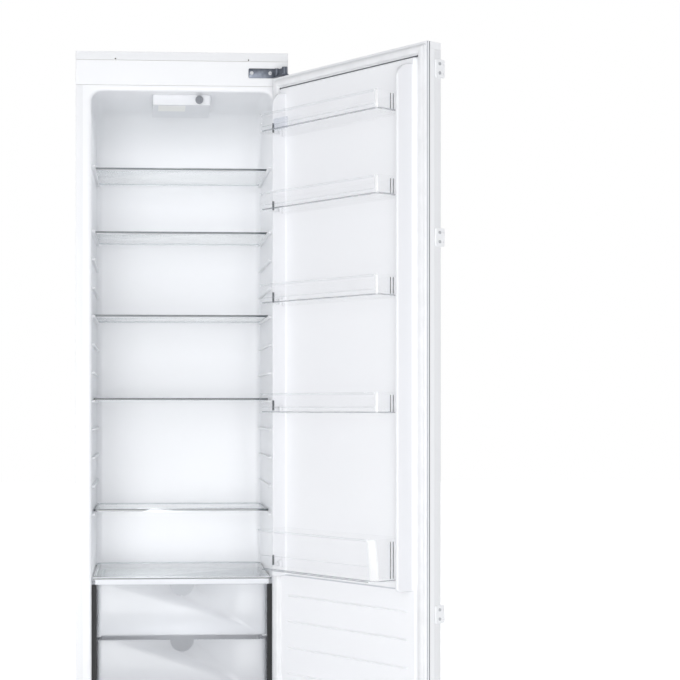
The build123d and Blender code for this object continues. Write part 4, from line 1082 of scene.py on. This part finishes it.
@dataclass(frozen=True)
class Gasket:
    """The magnetic seal: a base band, a thin bellows and the bulb that holds the magnet strip."""

    side: float = 9 * MM
    far_side: float = 1 * MM
    end: float = 5 * MM
    width: float = 25 * MM
    rise: float = 9.7 * MM
    corner: float = 9 * MM
    leaf_width: float = 540 * MM
    slot_height: float = 2.6 * MM
    slot_proud: float = 3.5 * MM
    # Half width of the dark block of painted shade at each corner of the top run
    corner_shade: float = 2.2 * MM

    def build(self) -> None:
        """Carries the closed profile round the leaf, one loop a profile point; its flanks are mirrored."""
        low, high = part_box("door_liner")
        across = np.array([0, 0.4, 1.4, 3.2, 4.2, 4.4, 5.2, 6.8]) * MM
        climb = np.array([0.1, 1.2, 1.9, 2.4, 3.4, 5.2, 8.2, 9.4]) * MM
        inset = np.concatenate([across, [self.width / 2], self.width - across[::-1]])
        out = np.concatenate([climb, [self.rise], climb[::-1]])
        loops = rounded_loops(self.side + inset, self.leaf_width - self.far_side - inset,
                              low.z + self.end + inset, high.z - self.end - inset,
                              np.clip(self.corner - inset, 1 * MM, None))
        shell = Shell()
        shell.rings(DOOR_FACE, raised(loops, out), closed=True)
        # A dark strip under the top run paints its shade
        self.slot(shell, high.z - self.end - self.width)
        piece = shell.make("door_seal", [Stuff.VINYL, Stuff.SEAM], sharp_deg=60)
        settle(piece, "door", "white_gasket_vinyl", "door_gasket")

    def slot(self, shell: Shell, line: float) -> None:
        """Adds a dark strip under the seal's top run, painted shade where its underside is in shadow, and a
        dark block of painted shade at each corner.

        Args:
            shell: Takes the strip and the corner blocks.
            line: Height of the top run's lower edge.
        """
        left, right = self.side + self.width, self.leaf_width - self.far_side - self.width
        foot = 0.5 * MM
        shell.block(DOOR_FACE, (left, right, line - self.slot_height, line + 0.3 * MM),
                    [foot, self.slot_proud], 1.2 * MM, mark=1)
        for place in (left, right):
            shell.block(DOOR_FACE, (place - self.corner_shade, place + self.corner_shade, line - 3.4 * MM, line + 1 * MM),
                        [foot, self.slot_proud + 1 * MM], 2.1 * MM, mark=1)


@dataclass(frozen=True)
class Tray:
    """One clear door bin or the bottle rack: a thin-walled tray with round corners and a turned-in rim."""

    name: str
    body: str
    rib_share: float = 0.7
    front_low: float = 100 * MM
    front_high: float = 100 * MM
    corner: float = 15 * MM
    rear_corner: float = 4 * MM
    step_share: float = 0.33
    # True where the outer foot's front span gets the painted fold shade too
    shaded_outer_foot: bool = False
    wall: float = 2.5 * MM
    rim: float = 1.5 * MM
    rim_height: float = 4 * MM
    left: float = 58 * MM
    back: float = 7.1 * MM
    leaf_width: float = 540 * MM
    lug_start: float = 19.7 * MM
    lug_end: float = 30.3 * MM
    lug_height: float = 16.8 * MM
    lug_reach: float = 4.3 * MM
    # Reach of a bluish sheet inside the left end that paints shade there; 0 leaves it out
    shade_sheet_mm: float = 0.0
    steps: int = 7
    # Spans of the right front corner that get the painted highlight
    bright: tuple[int, int] = (2, 4)

    def build(self) -> None:
        """Builds the tray as one closed skin, then opens the lug slots and adds the hooks at its ends."""
        low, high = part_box(self.name)
        inset, height = skin(low.z, high.z, self.wall, self.rim, self.rim_height, self.step_share)
        front = np.interp(height, [low.z, high.z], [self.front_low, self.front_high])
        rear = np.clip(self.rear_corner - inset * 0.5, 0.8 * MM, None)
        # The plan's up axis points into the leaf, so the front of the tray is its lower side
        radius = np.stack([self.corner - inset, rear, rear, self.corner - inset], 1)
        loops = rounded_loops(self.left + inset, self.leaf_width - self.left - inset, inset - front,
                              -(self.back + inset), radius, self.steps)
        shell = Shell()
        shell.rings(DOOR_PLAN, raised(loops, height), stripes=self.stripes(len(inset)), cap_mark=3)
        finishes = [Stuff.CLEAR, Stuff.CLEAR_FOLD_SHADE, Stuff.CLEAR_CORNER_HIGHLIGHT, Stuff.CLEAR_FLOOR, Stuff.CLEAR_RIM_SHADE]
        piece = shell.make(f"{self.name}_tray", finishes, sharp_deg=50)
        slots = Shell()
        far = self.leaf_width - self.left
        for start, end in ((self.left - 1 * MM, self.left + self.lug_reach),
                           (far - self.lug_reach, far + 1 * MM)):
            slots.block(DOOR_PLAN, (start, end, -self.lug_end, -self.lug_start),
                        [low.z - 1 * MM, low.z + self.lug_height], 0.8 * MM)
        carve(piece, slots)
        settle(piece, self.body, "clear_bin_plastic", self.name)
        self.hooks(low.z + self.wall, high.z - self.rim_height)

    def stripes(self, rows: int) -> np.ndarray:
        """Marks where painted shade and painted highlights go on the clear plastic.

        A loop's spans start with the right front corner's. The right end, the right rear corner and so on
        follow, up to the front wall, which is the last span.

        Args:
            rows: Number of the section's points.

        Returns:
            The number of each face's finish: 1 for painted shade in a fold, 2 for a painted corner highlight,
            4 for painted shade along the rim and the step.
        """
        corner = self.steps + 1
        marks = np.zeros((rows - 1, 4 * corner), int)
        # Painted shade along the rim over the left front corner and the front wall
        marks[RIM, 3 * corner:] = 4
        # Painted highlight on the right front corner, above the outer foot
        marks[OUTER_FOOT.stop:, slice(*self.bright)] = 2
        # Painted shade along the inner fold of the right front corner and the front wall
        marks[INNER_FOLD, :corner] = 1
        marks[INNER_FOLD, -1] = 1
        # Painted shade along the step line of the front wall
        marks[STEP, -1] = 4
        # Painted shade on the front of the outer foot
        if self.shaded_outer_foot:
            marks[OUTER_FOOT, -1] = 1
        return marks

    def hooks(self, foot: float, top: float) -> None:
        """Adds the upright ribs inside both ends, drawn dark as painted shade, and in a tray with a shade
        sheet a bluish sheet inside its left end, which paints the blue shade seen there.

        Each block has its distances from the leaf and from the end wall in millimetres, its two heights as
        shares of the way from foot to top, and the number of its finish.

        Args:
            foot: Height of the tray's inner floor.
            top: Height of the rim's lower edge.
        """
        shell = Shell()
        edge = self.left + self.wall - 0.2 * MM
        # Each rib takes the dark rib finish: painted shade
        near = [((47.5, 53), (0, 1.9), (0.16 * self.rib_share, self.rib_share), 1)]
        # The bluish sheet: painted shade
        if self.shade_sheet_mm:
            near.append(((49.5, 51), (1.9, self.shade_sheet_mm), (0.24, 0.97), 0))
        far = [((46, 48), (0, 1.2), (0.06, 0.97), 1), ((55, 57), (0, 1.2), (0.06, 0.97), 1)]
        for side, blocks in ((0, near), (1, far)):
            for leaf_mm, wall_mm, shares, mark in blocks:
                left, right = sorted(abs(side * self.leaf_width - edge - value * MM) for value in wall_mm)
                shell.block(DOOR_PLAN, (left, right, -leaf_mm[1] * MM, -leaf_mm[0] * MM),
                            foot + (top - foot) * np.array(shares), 0.5 * MM, mark)
        piece = shell.make(f"{self.name}_hooks", [Stuff.CLEAR_SHADE_SHEET, Stuff.CLEAR_RIB_SHADE], sharp_deg=50)
        settle(piece, self.body, "clear_bin_plastic")


@dataclass(frozen=True)
class Shelf:
    """A glass plate with a pencil edge and round rear corners, and the clear trim that grips its front."""

    glass: str
    trim: str
    body: str
    under_lip: float = 1.6 * MM
    # How far the painted dark of the glass edge reaches above the plate on the trim
    edge_shade_over: float = 1.6 * MM
    rear_corner: float = 22 * MM
    front_corner: float = 2 * MM
    pencil: float = 1.2 * MM
    lower_half: float = 221 * MM
    spans: int = 7

    def build(self) -> None:
        """Builds the plate, then the trim."""
        self.plate()
        self.grip()

    def plate(self) -> None:
        """Stacks the plate's outline, drawn in along a half circle at the edge."""
        low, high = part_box(self.glass)
        turn = np.linspace(-QUARTER, QUARTER, 7)
        inset = self.pencil * (1 - np.cos(turn))
        height = (low.z + high.z) / 2 + (high.z - low.z) / 2 * np.sin(turn)
        front, rear = self.front_corner - inset, self.rear_corner - inset
        loops = rounded_loops(low.x + inset, high.x - inset, low.y + inset, high.y - inset,
                              np.stack([front, rear, rear, front], 1), self.spans)
        shell = Shell()
        # Front corners and sides get the dark edge, rear corners and rear side the paler one: painted shade
        # and painted light
        edges = np.repeat([1, 2, 2, 1], self.spans + 1)
        # The left side follows the left rear corner in its run, and gets the same painted dark edge as the
        # right side
        edges[3 * self.spans + 2] = 1
        shell.rings(PLAN, raised(loops, height), stripes=edges, cap_mark=0)
        finishes = [Stuff.GLASS, Stuff.GLASS_EDGE_SHADE, Stuff.GLASS_REAR_LIGHT]
        piece = shell.make(f"{self.glass}_plate", finishes, sharp_deg=50)
        settle(piece, self.body, "shelf_glass", self.glass)

    def grip(self) -> None:
        """Draws the trim's upper part over the whole width and its lower part between the ledges."""
        low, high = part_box(self.trim)
        plate_low, plate_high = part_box(self.glass)
        wall = plate_low.y - low.y
        soft = 0.4 * MM
        upper = filleted([(plate_low.y, plate_low.z, 0), (plate_low.y, plate_high.z, 0),
                          (high.y, plate_high.z, soft), (high.y, high.z, soft), (low.y, high.z, 1.2 * MM),
                          (low.y, plate_high.z, 0), (low.y, plate_low.z, 0)])
        middle = (upper + np.roll(upper, -1, axis=0)) / 2
        # The trim's front over the glass edge is drawn dark: painted shade for the glass edge seen through it
        dark = (middle[:, 0] < low.y + wall / 2) & (middle[:, 1] < plate_high.z + self.edge_shade_over)
        lip = plate_low.z - self.under_lip
        lower = [(low.y, low.z, 0.7 * MM), (high.y, lip, soft), (high.y, plate_low.z, 0),
                 (low.y, plate_low.z, 0)]
        if lip - low.z > soft:
            lower[1:1] = [(plate_low.y, low.z, soft), (plate_low.y, lip, 0)]
        shell = Shell()
        shell.rings(SIDE, raised(np.stack([upper] * 2), [low.x, high.x]), stripes=dark.astype(int))
        shell.rings(SIDE, raised(np.stack([filleted(lower)] * 2), [-self.lower_half, self.lower_half]))
        piece = shell.make(f"{self.trim}_grip", [Stuff.TRIM, Stuff.GLASS_EDGE_SHADE])
        settle(piece, self.body, "clear_trim_plastic", self.trim)


@dataclass(frozen=True)
class Drawer:
    """A crisper drawer: a frosted box with round corners, a rim turned inwards and a finger notch."""

    name: str
    body: str
    corner: float = 12 * MM
    wall: float = 3 * MM
    rim: float = 5 * MM
    rim_height: float = 4 * MM
    grip: float = 30 * MM
    overrun: float = 2 * MM

    def build(self) -> None:
        """Builds the box as one skin and cuts the notch through its front."""
        low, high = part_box(self.name)
        inset, height = skin(low.z, high.z, self.wall, self.rim, self.rim_height)
        loops = rounded_loops(low.x + inset, high.x - inset, low.y + inset, high.y - inset,
                              np.clip(self.corner - inset, 2 * MM, None), steps=7)
        shell = Shell()
        shell.rings(PLAN, raised(loops, height))
        piece = shell.make(f"{self.name}_box", [Stuff.DRAWER], sharp_deg=50)
        notch = Shell()
        reach = self.wall + self.rim
        outline = circle(0, high.z, self.grip, spans=64)
        notch.rings(FRONT, raised(np.stack([outline] * 2),
                                  [-low.y - reach - self.overrun, -low.y + self.overrun]))
        carve(piece, notch)
        settle(piece, self.body, "clear_drawer_plastic", self.name)


@dataclass(frozen=True)
class Hinge:
    """A hinge: the screwed plate, the flat arm, the S-shaped link and the two barrels."""

    name: str
    plate_height: float = 24.5 * MM
    plate_wall: float = 2.5 * MM
    plate_corner: float = 3 * MM
    arm_wall: float = 3 * MM
    arm_width: float = 39 * MM
    nose: float = 10 * MM
    nose_round: float = 9 * MM
    barrel_height: float = 21 * MM
    pin: tuple[float, float] = (258 * MM, -284 * MM)
    pin_radius: float = 4 * MM
    pin_barrel: float = 7 * MM
    knee: tuple[float, float] = (240 * MM, -262 * MM)
    knee_barrel: float = 6 * MM
    link_start: float = 224 * MM
    link_wall: float = 2.5 * MM
    link_short: float = 2 * MM

    def build(self) -> None:
        """Builds every part between its two heights; the lower hinge has them the other way up."""
        low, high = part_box(self.name)
        upper = self.name.startswith("upper")
        near, far = (high.z - self.plate_height, high.z) if upper else (low.z + self.plate_height, low.z)
        up = 1 if upper else -1
        face = high.y - self.plate_wall
        shell = Shell()
        bevel = np.array([0, 0, 0.3, 0.8]) * MM
        plate = rounded_loops(low.x + bevel, high.x - bevel, min(near, far) + bevel, max(near, far) - bevel,
                              self.plate_corner - bevel, steps=5)
        shell.rings(FRONT, raised(plate, -high.y + np.array([0, *(self.plate_wall - bevel[:0:-1])])))
        x, y = self.pin
        arm = filleted([(x - self.nose, y - self.nose, self.nose_round),
                        (x + self.nose, y - self.nose, self.nose_round),
                        (high.x, face, 0), (high.x - self.arm_width, face, 0)], steps=6)
        start, end = near + up * self.arm_wall, near + up * self.barrel_height
        self.prism(shell, arm, near, start)
        for place, radius in ((self.pin, self.pin_barrel), (self.knee, self.knee_barrel)):
            self.prism(shell, circle(*place, radius), start, end)
        self.prism(shell, self.link(face), start, end - up * self.link_short)
        self.prism(shell, circle(*self.pin, self.pin_radius), near, low.z if upper else high.z)
        piece = shell.make(f"{self.name}_forged", [Stuff.GREY_ZINC])
        settle(piece, "cabinet", "zinc_plated_steel", self.name)

    def prism(self, shell: Shell, outline: np.ndarray, start: float, end: float) -> None:
        """Stands an outline up between two heights."""
        shell.rings(PLAN, raised(np.stack([outline] * 2), sorted([start, end])))

    def link(self, face: float) -> np.ndarray:
        """Draws the link in plan: its middle line is a smooth step, 3 t squared minus 2 t cubed.

        Args:
            face: Depth of the plate's front, where the link starts.

        Returns:
            The outline, half a wall each side of the middle line.
        """
        share = np.linspace(0, 1, 17)
        x = self.link_start + (self.pin[0] + self.pin_radius - self.link_start) * share
        y = face + (self.pin[1] - face) * share ** 2 * (3 - 2 * share)
        slope = np.stack([np.gradient(x), np.gradient(y)], 1)
        across = np.stack([-slope[:, 1], slope[:, 0]], 1) / np.linalg.norm(slope, axis=1, keepdims=True)
        half_wall = across * self.link_wall / 2
        middle = np.stack([x, y], 1)
        return np.concatenate([middle - half_wall, (middle + half_wall)[::-1]])


@dataclass(frozen=True)
class EdgeGap:
    """The joint down each long side of the leaf, where the liner's fold meets the side strip, drawn with
    beads of painted shade.
    """

    width: float = 540 * MM
    proud: float = 0.35 * MM
    depth: float = 1 * MM

    def build(self) -> None:
        """Stands two thin beads of painted shade on each side: a grey line on the fold and a dark one in the
        joint.
        """
        heights = [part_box("door_bottom_cap")[0].z + 1 * MM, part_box("door_top_cap")[1].z - 1 * MM]
        shell = Shell()
        for start, end, mark in ((0.3 * MM, 1.5 * MM, 0), (6.6 * MM, 8.6 * MM, 1)):
            for left, right in ((-self.proud, self.depth),
                                (self.width - self.depth, self.width + self.proud)):
                shell.block(DOOR_PLAN, (left, right, start, end), heights, 0.3 * MM, mark)
        piece = shell.make("door_edge_joint", [Stuff.CREASE, Stuff.SEAM])
        settle(piece, "door", "white_moulded_plastic")


@dataclass(frozen=True)
class SoftCopy:
    """A plain piece with its own shape whose edges the press or the mould left rounded."""

    node: str
    body: str
    slot: str
    round_mm: float
    segments: int = 2

    def build(self) -> None:
        """Merges the copy's loose triangles, dissolves its flats and bevels what stays."""
        mesh = frame["nodes"][self.node].data.copy()
        mesh.name = f"{self.node}_soft"
        work = bmesh.new()
        work.from_mesh(mesh)
        bmesh.ops.remove_doubles(work, verts=work.verts, dist=0.02 * MM)
        bmesh.ops.dissolve_limit(work, angle_limit=math.radians(1), verts=work.verts, edges=work.edges)
        work.to_mesh(mesh)
        work.free()
        mesh.materials.clear()
        mesh.materials.append(NODE_STUFF[self.node].value.material())
        mesh.shade_smooth()
        mesh.set_sharp_from_angle(angle=math.radians(50))
        piece = bpy.data.objects.new(mesh.name, mesh)
        bpy.context.scene.collection.objects.link(piece)
        bevel = piece.modifiers.new("round", "BEVEL")
        bevel.width = self.round_mm * MM
        bevel.segments = self.segments
        bevel.limit_method = "ANGLE"
        bevel.angle_limit = math.radians(40)
        settle(piece, self.body, self.slot, self.node)


SOFT_COPIES = (
    SoftCopy("top_fascia", "cabinet", "white_moulded_plastic", 0.5),
    SoftCopy("control_box", "cabinet", "white_moulded_plastic", 0.9),
    SoftCopy("thermostat_knob", "knob", "grey_moulded_plastic", 0.5),
    SoftCopy("door_side_strips", "door", "white_moulded_plastic", 0.5),
    SoftCopy("door_top_cap", "door", "white_moulded_plastic", 1.0),
    SoftCopy("door_bottom_cap", "door", "white_moulded_plastic", 1.0),
    SoftCopy("rail_brackets", "door", "white_moulded_plastic", 0.5),
)


@dataclass(frozen=True)
class Lamp:
    """A square soft lamp that faces a point."""

    name: str
    place: tuple[float, float, float]
    aim: tuple[float, float, float]
    size: float
    power: float

    def build(self) -> None:
        """Makes the lamp, which the camera itself doesn't see."""
        data = bpy.data.lights.new(self.name, "AREA")
        data.size = self.size
        data.energy = self.power
        lamp = bpy.data.objects.new(self.name, data)
        lamp.location = self.place
        lamp.rotation_mode = "QUATERNION"
        lamp.rotation_quaternion = (Vector(self.place) - Vector(self.aim)).to_track_quat("Z", "Y")
        lamp.visible_camera = False
        bpy.context.scene.collection.objects.link(lamp)


LAMPS = (
    Lamp("key_lamp", (-0.35, -5.4, 1.1), (0.1, -0.1, 0.9), 2.8, 84),
    Lamp("left_lamp", (-2.6, -4.2, 1.3), (0.1, -0.1, 0.9), 2.4, 19),
    Lamp("low_lamp", (-0.3, -2.6, 0.12), (0.05, 0.1, 1.5), 1.6, 22),
    Lamp("cavity_lamp", (-0.03, -0.15, 1.63), (-0.03, -0.12, 0.9), 0.08, 0.3),
    Lamp("middle_cavity_lamp", (-0.1, -0.17, 0.57), (0.1, 0.0, 0.2), 0.16, 0.3),
    Lamp("drawer_lamp", (0.0, -0.12, 0.4), (0.0, -0.1, 0.2), 0.2, 0.22),
    Lamp("side_lamp", (4.4, 0.4, 2.2), (0.2, 0.0, 0.9), 2.4, 26),
    Lamp("back_lamp", (-1.2, 4.6, 2.2), (0.0, 0.2, 0.9), 2.6, 36),
)


@dataclass(frozen=True)
class Studio:
    """Plain pale floor and sky, soft lamps, and the camera at the photograph's viewing angle."""

    eye: tuple[float, float, float] = (-0.0905, -4.3006, 0.8679)
    yaw_deg: float = 3.2837
    focal_px: float = 1593.77
    centre_px: tuple[float, float] = (238.0, 406.83)
    image_px: float = 680.0
    sensor_mm: float = 36.0
    far_clip: float = 60.0
    clear_walls: int = 32
    floor_half: float = 14.0
    sky_level: float = 0.5
    sky_tone: tuple[float, float, float, float] = (0.965, 0.975, 1.0, 1)

    def build(self) -> None:
        """Sets the view transform and builds the floor, the sky, the lamps and the camera."""
        scene = bpy.context.scene
        scene.view_settings.view_transform = "Standard"
        # A ray through a bin and the shelves behind it crosses more clear walls than the usual eight
        scene.cycles.transparent_max_bounces = self.clear_walls
        self.floor()
        self.sky(scene)
        for lamp in LAMPS:
            lamp.build()
        self.camera(scene)

    def floor(self) -> None:
        """Builds a wide floor that meets the sky's white away from the object's shadow."""
        shell = Shell()
        span = np.linspace(-self.floor_half, self.floor_half, 9)
        height = np.full((len(span), len(span)), -0.5 * MM)
        shell.grid(PLAN, np.stack(np.broadcast_arrays(span[None, :], span[:, None], height), axis=-1))
        floor = shell.make("studio_floor", [Stuff.PAPER])

    def sky(self, scene: bpy.types.Scene) -> None:
        """Makes the sky white for what the eye and the glass see; a dimmer, cooler one lights the object.

        Args:
            scene: The scene that takes the sky.
        """
        world = bpy.data.worlds.new("studio_sky")
        scene.world = world
        world.use_nodes = True
        tree = world.node_tree
        path = add_node(tree, "ShaderNodeLightPath")
        seen = add_node(tree, "ShaderNodeMath",
                        {0: path.outputs["Is Camera Ray"], 1: path.outputs["Is Transmission Ray"]},
                        operation="MAXIMUM")
        level = add_node(tree, "ShaderNodeMapRange",
                         {"Value": seen.outputs[0], "To Min": self.sky_level, "To Max": 1.0})
        tone = add_node(tree, "ShaderNodeMix", {0: seen.outputs[0], 6: self.sky_tone, 7: (1, 1, 1, 1)},
                        data_type="RGBA")
        background = tree.nodes["Background"]
        tree.links.new(tone.outputs[2], background.inputs["Color"])
        tree.links.new(level.outputs["Result"], background.inputs["Strength"])

    def camera(self, scene: bpy.types.Scene) -> None:
        """Stands the camera level at the photograph's eye point, with its lens and its shifts.

        Args:
            scene: The scene that takes the camera.
        """
        camera = bpy.data.objects.new("camera", bpy.data.cameras.new("camera"))
        scene.collection.objects.link(camera)
        camera.location = self.eye
        camera.rotation_euler = (QUARTER, 0, -math.radians(self.yaw_deg))
        camera.data.sensor_width = self.sensor_mm
        camera.data.lens = self.focal_px / self.image_px * self.sensor_mm
        camera.data.shift_x = 0.5 - self.centre_px[0] / self.image_px
        camera.data.shift_y = self.centre_px[1] / self.image_px - 0.5
        camera.data.clip_end = self.far_clip
        scene.camera = camera


def dress_nodes() -> None:
    """Gives every CAD node the finish of the real piece."""
    for name, node in frame["nodes"].items():
        node.data.materials.clear()
        node.data.materials.append(NODE_STUFF[name].value.material())


def main() -> None:
    """Builds the refrigerator's looks and its studio."""
    logging.basicConfig(level=logging.INFO, format="%(name)s: %(message)s")
    dress_nodes()
    CavityLiner().build()
    DoorLiner().build()
    Gasket().build()
    for number in BINS:
        Tray(f"door_bin_{number}", f"bin_{number}", shade_sheet_mm=55 if number == 1 else 0).build()
    Tray("bottle_rack", "rack", rib_share=0.32, front_low=105 * MM, front_high=115 * MM, corner=25 * MM,
         step_share=0.38, shaded_outer_foot=True, bright=(1, 5)).build()
    for number in SHELVES:
        Shelf(f"shelf_{number}_glass", f"shelf_{number}_trim", f"shelf_{number}").build()
    Shelf("crisper_cover", "crisper_cover_trim", "cabinet", under_lip=3 * MM, edge_shade_over=0.0).build()
    for level in ("upper", "lower"):
        Drawer(f"crisper_drawer_{level}", f"{level}_drawer").build()
        Hinge(f"{level}_hinge").build()
    EdgeGap().build()
    for copy in SOFT_COPIES:
        copy.build()
    Studio().build()


if __name__ == "__main__":
    main()
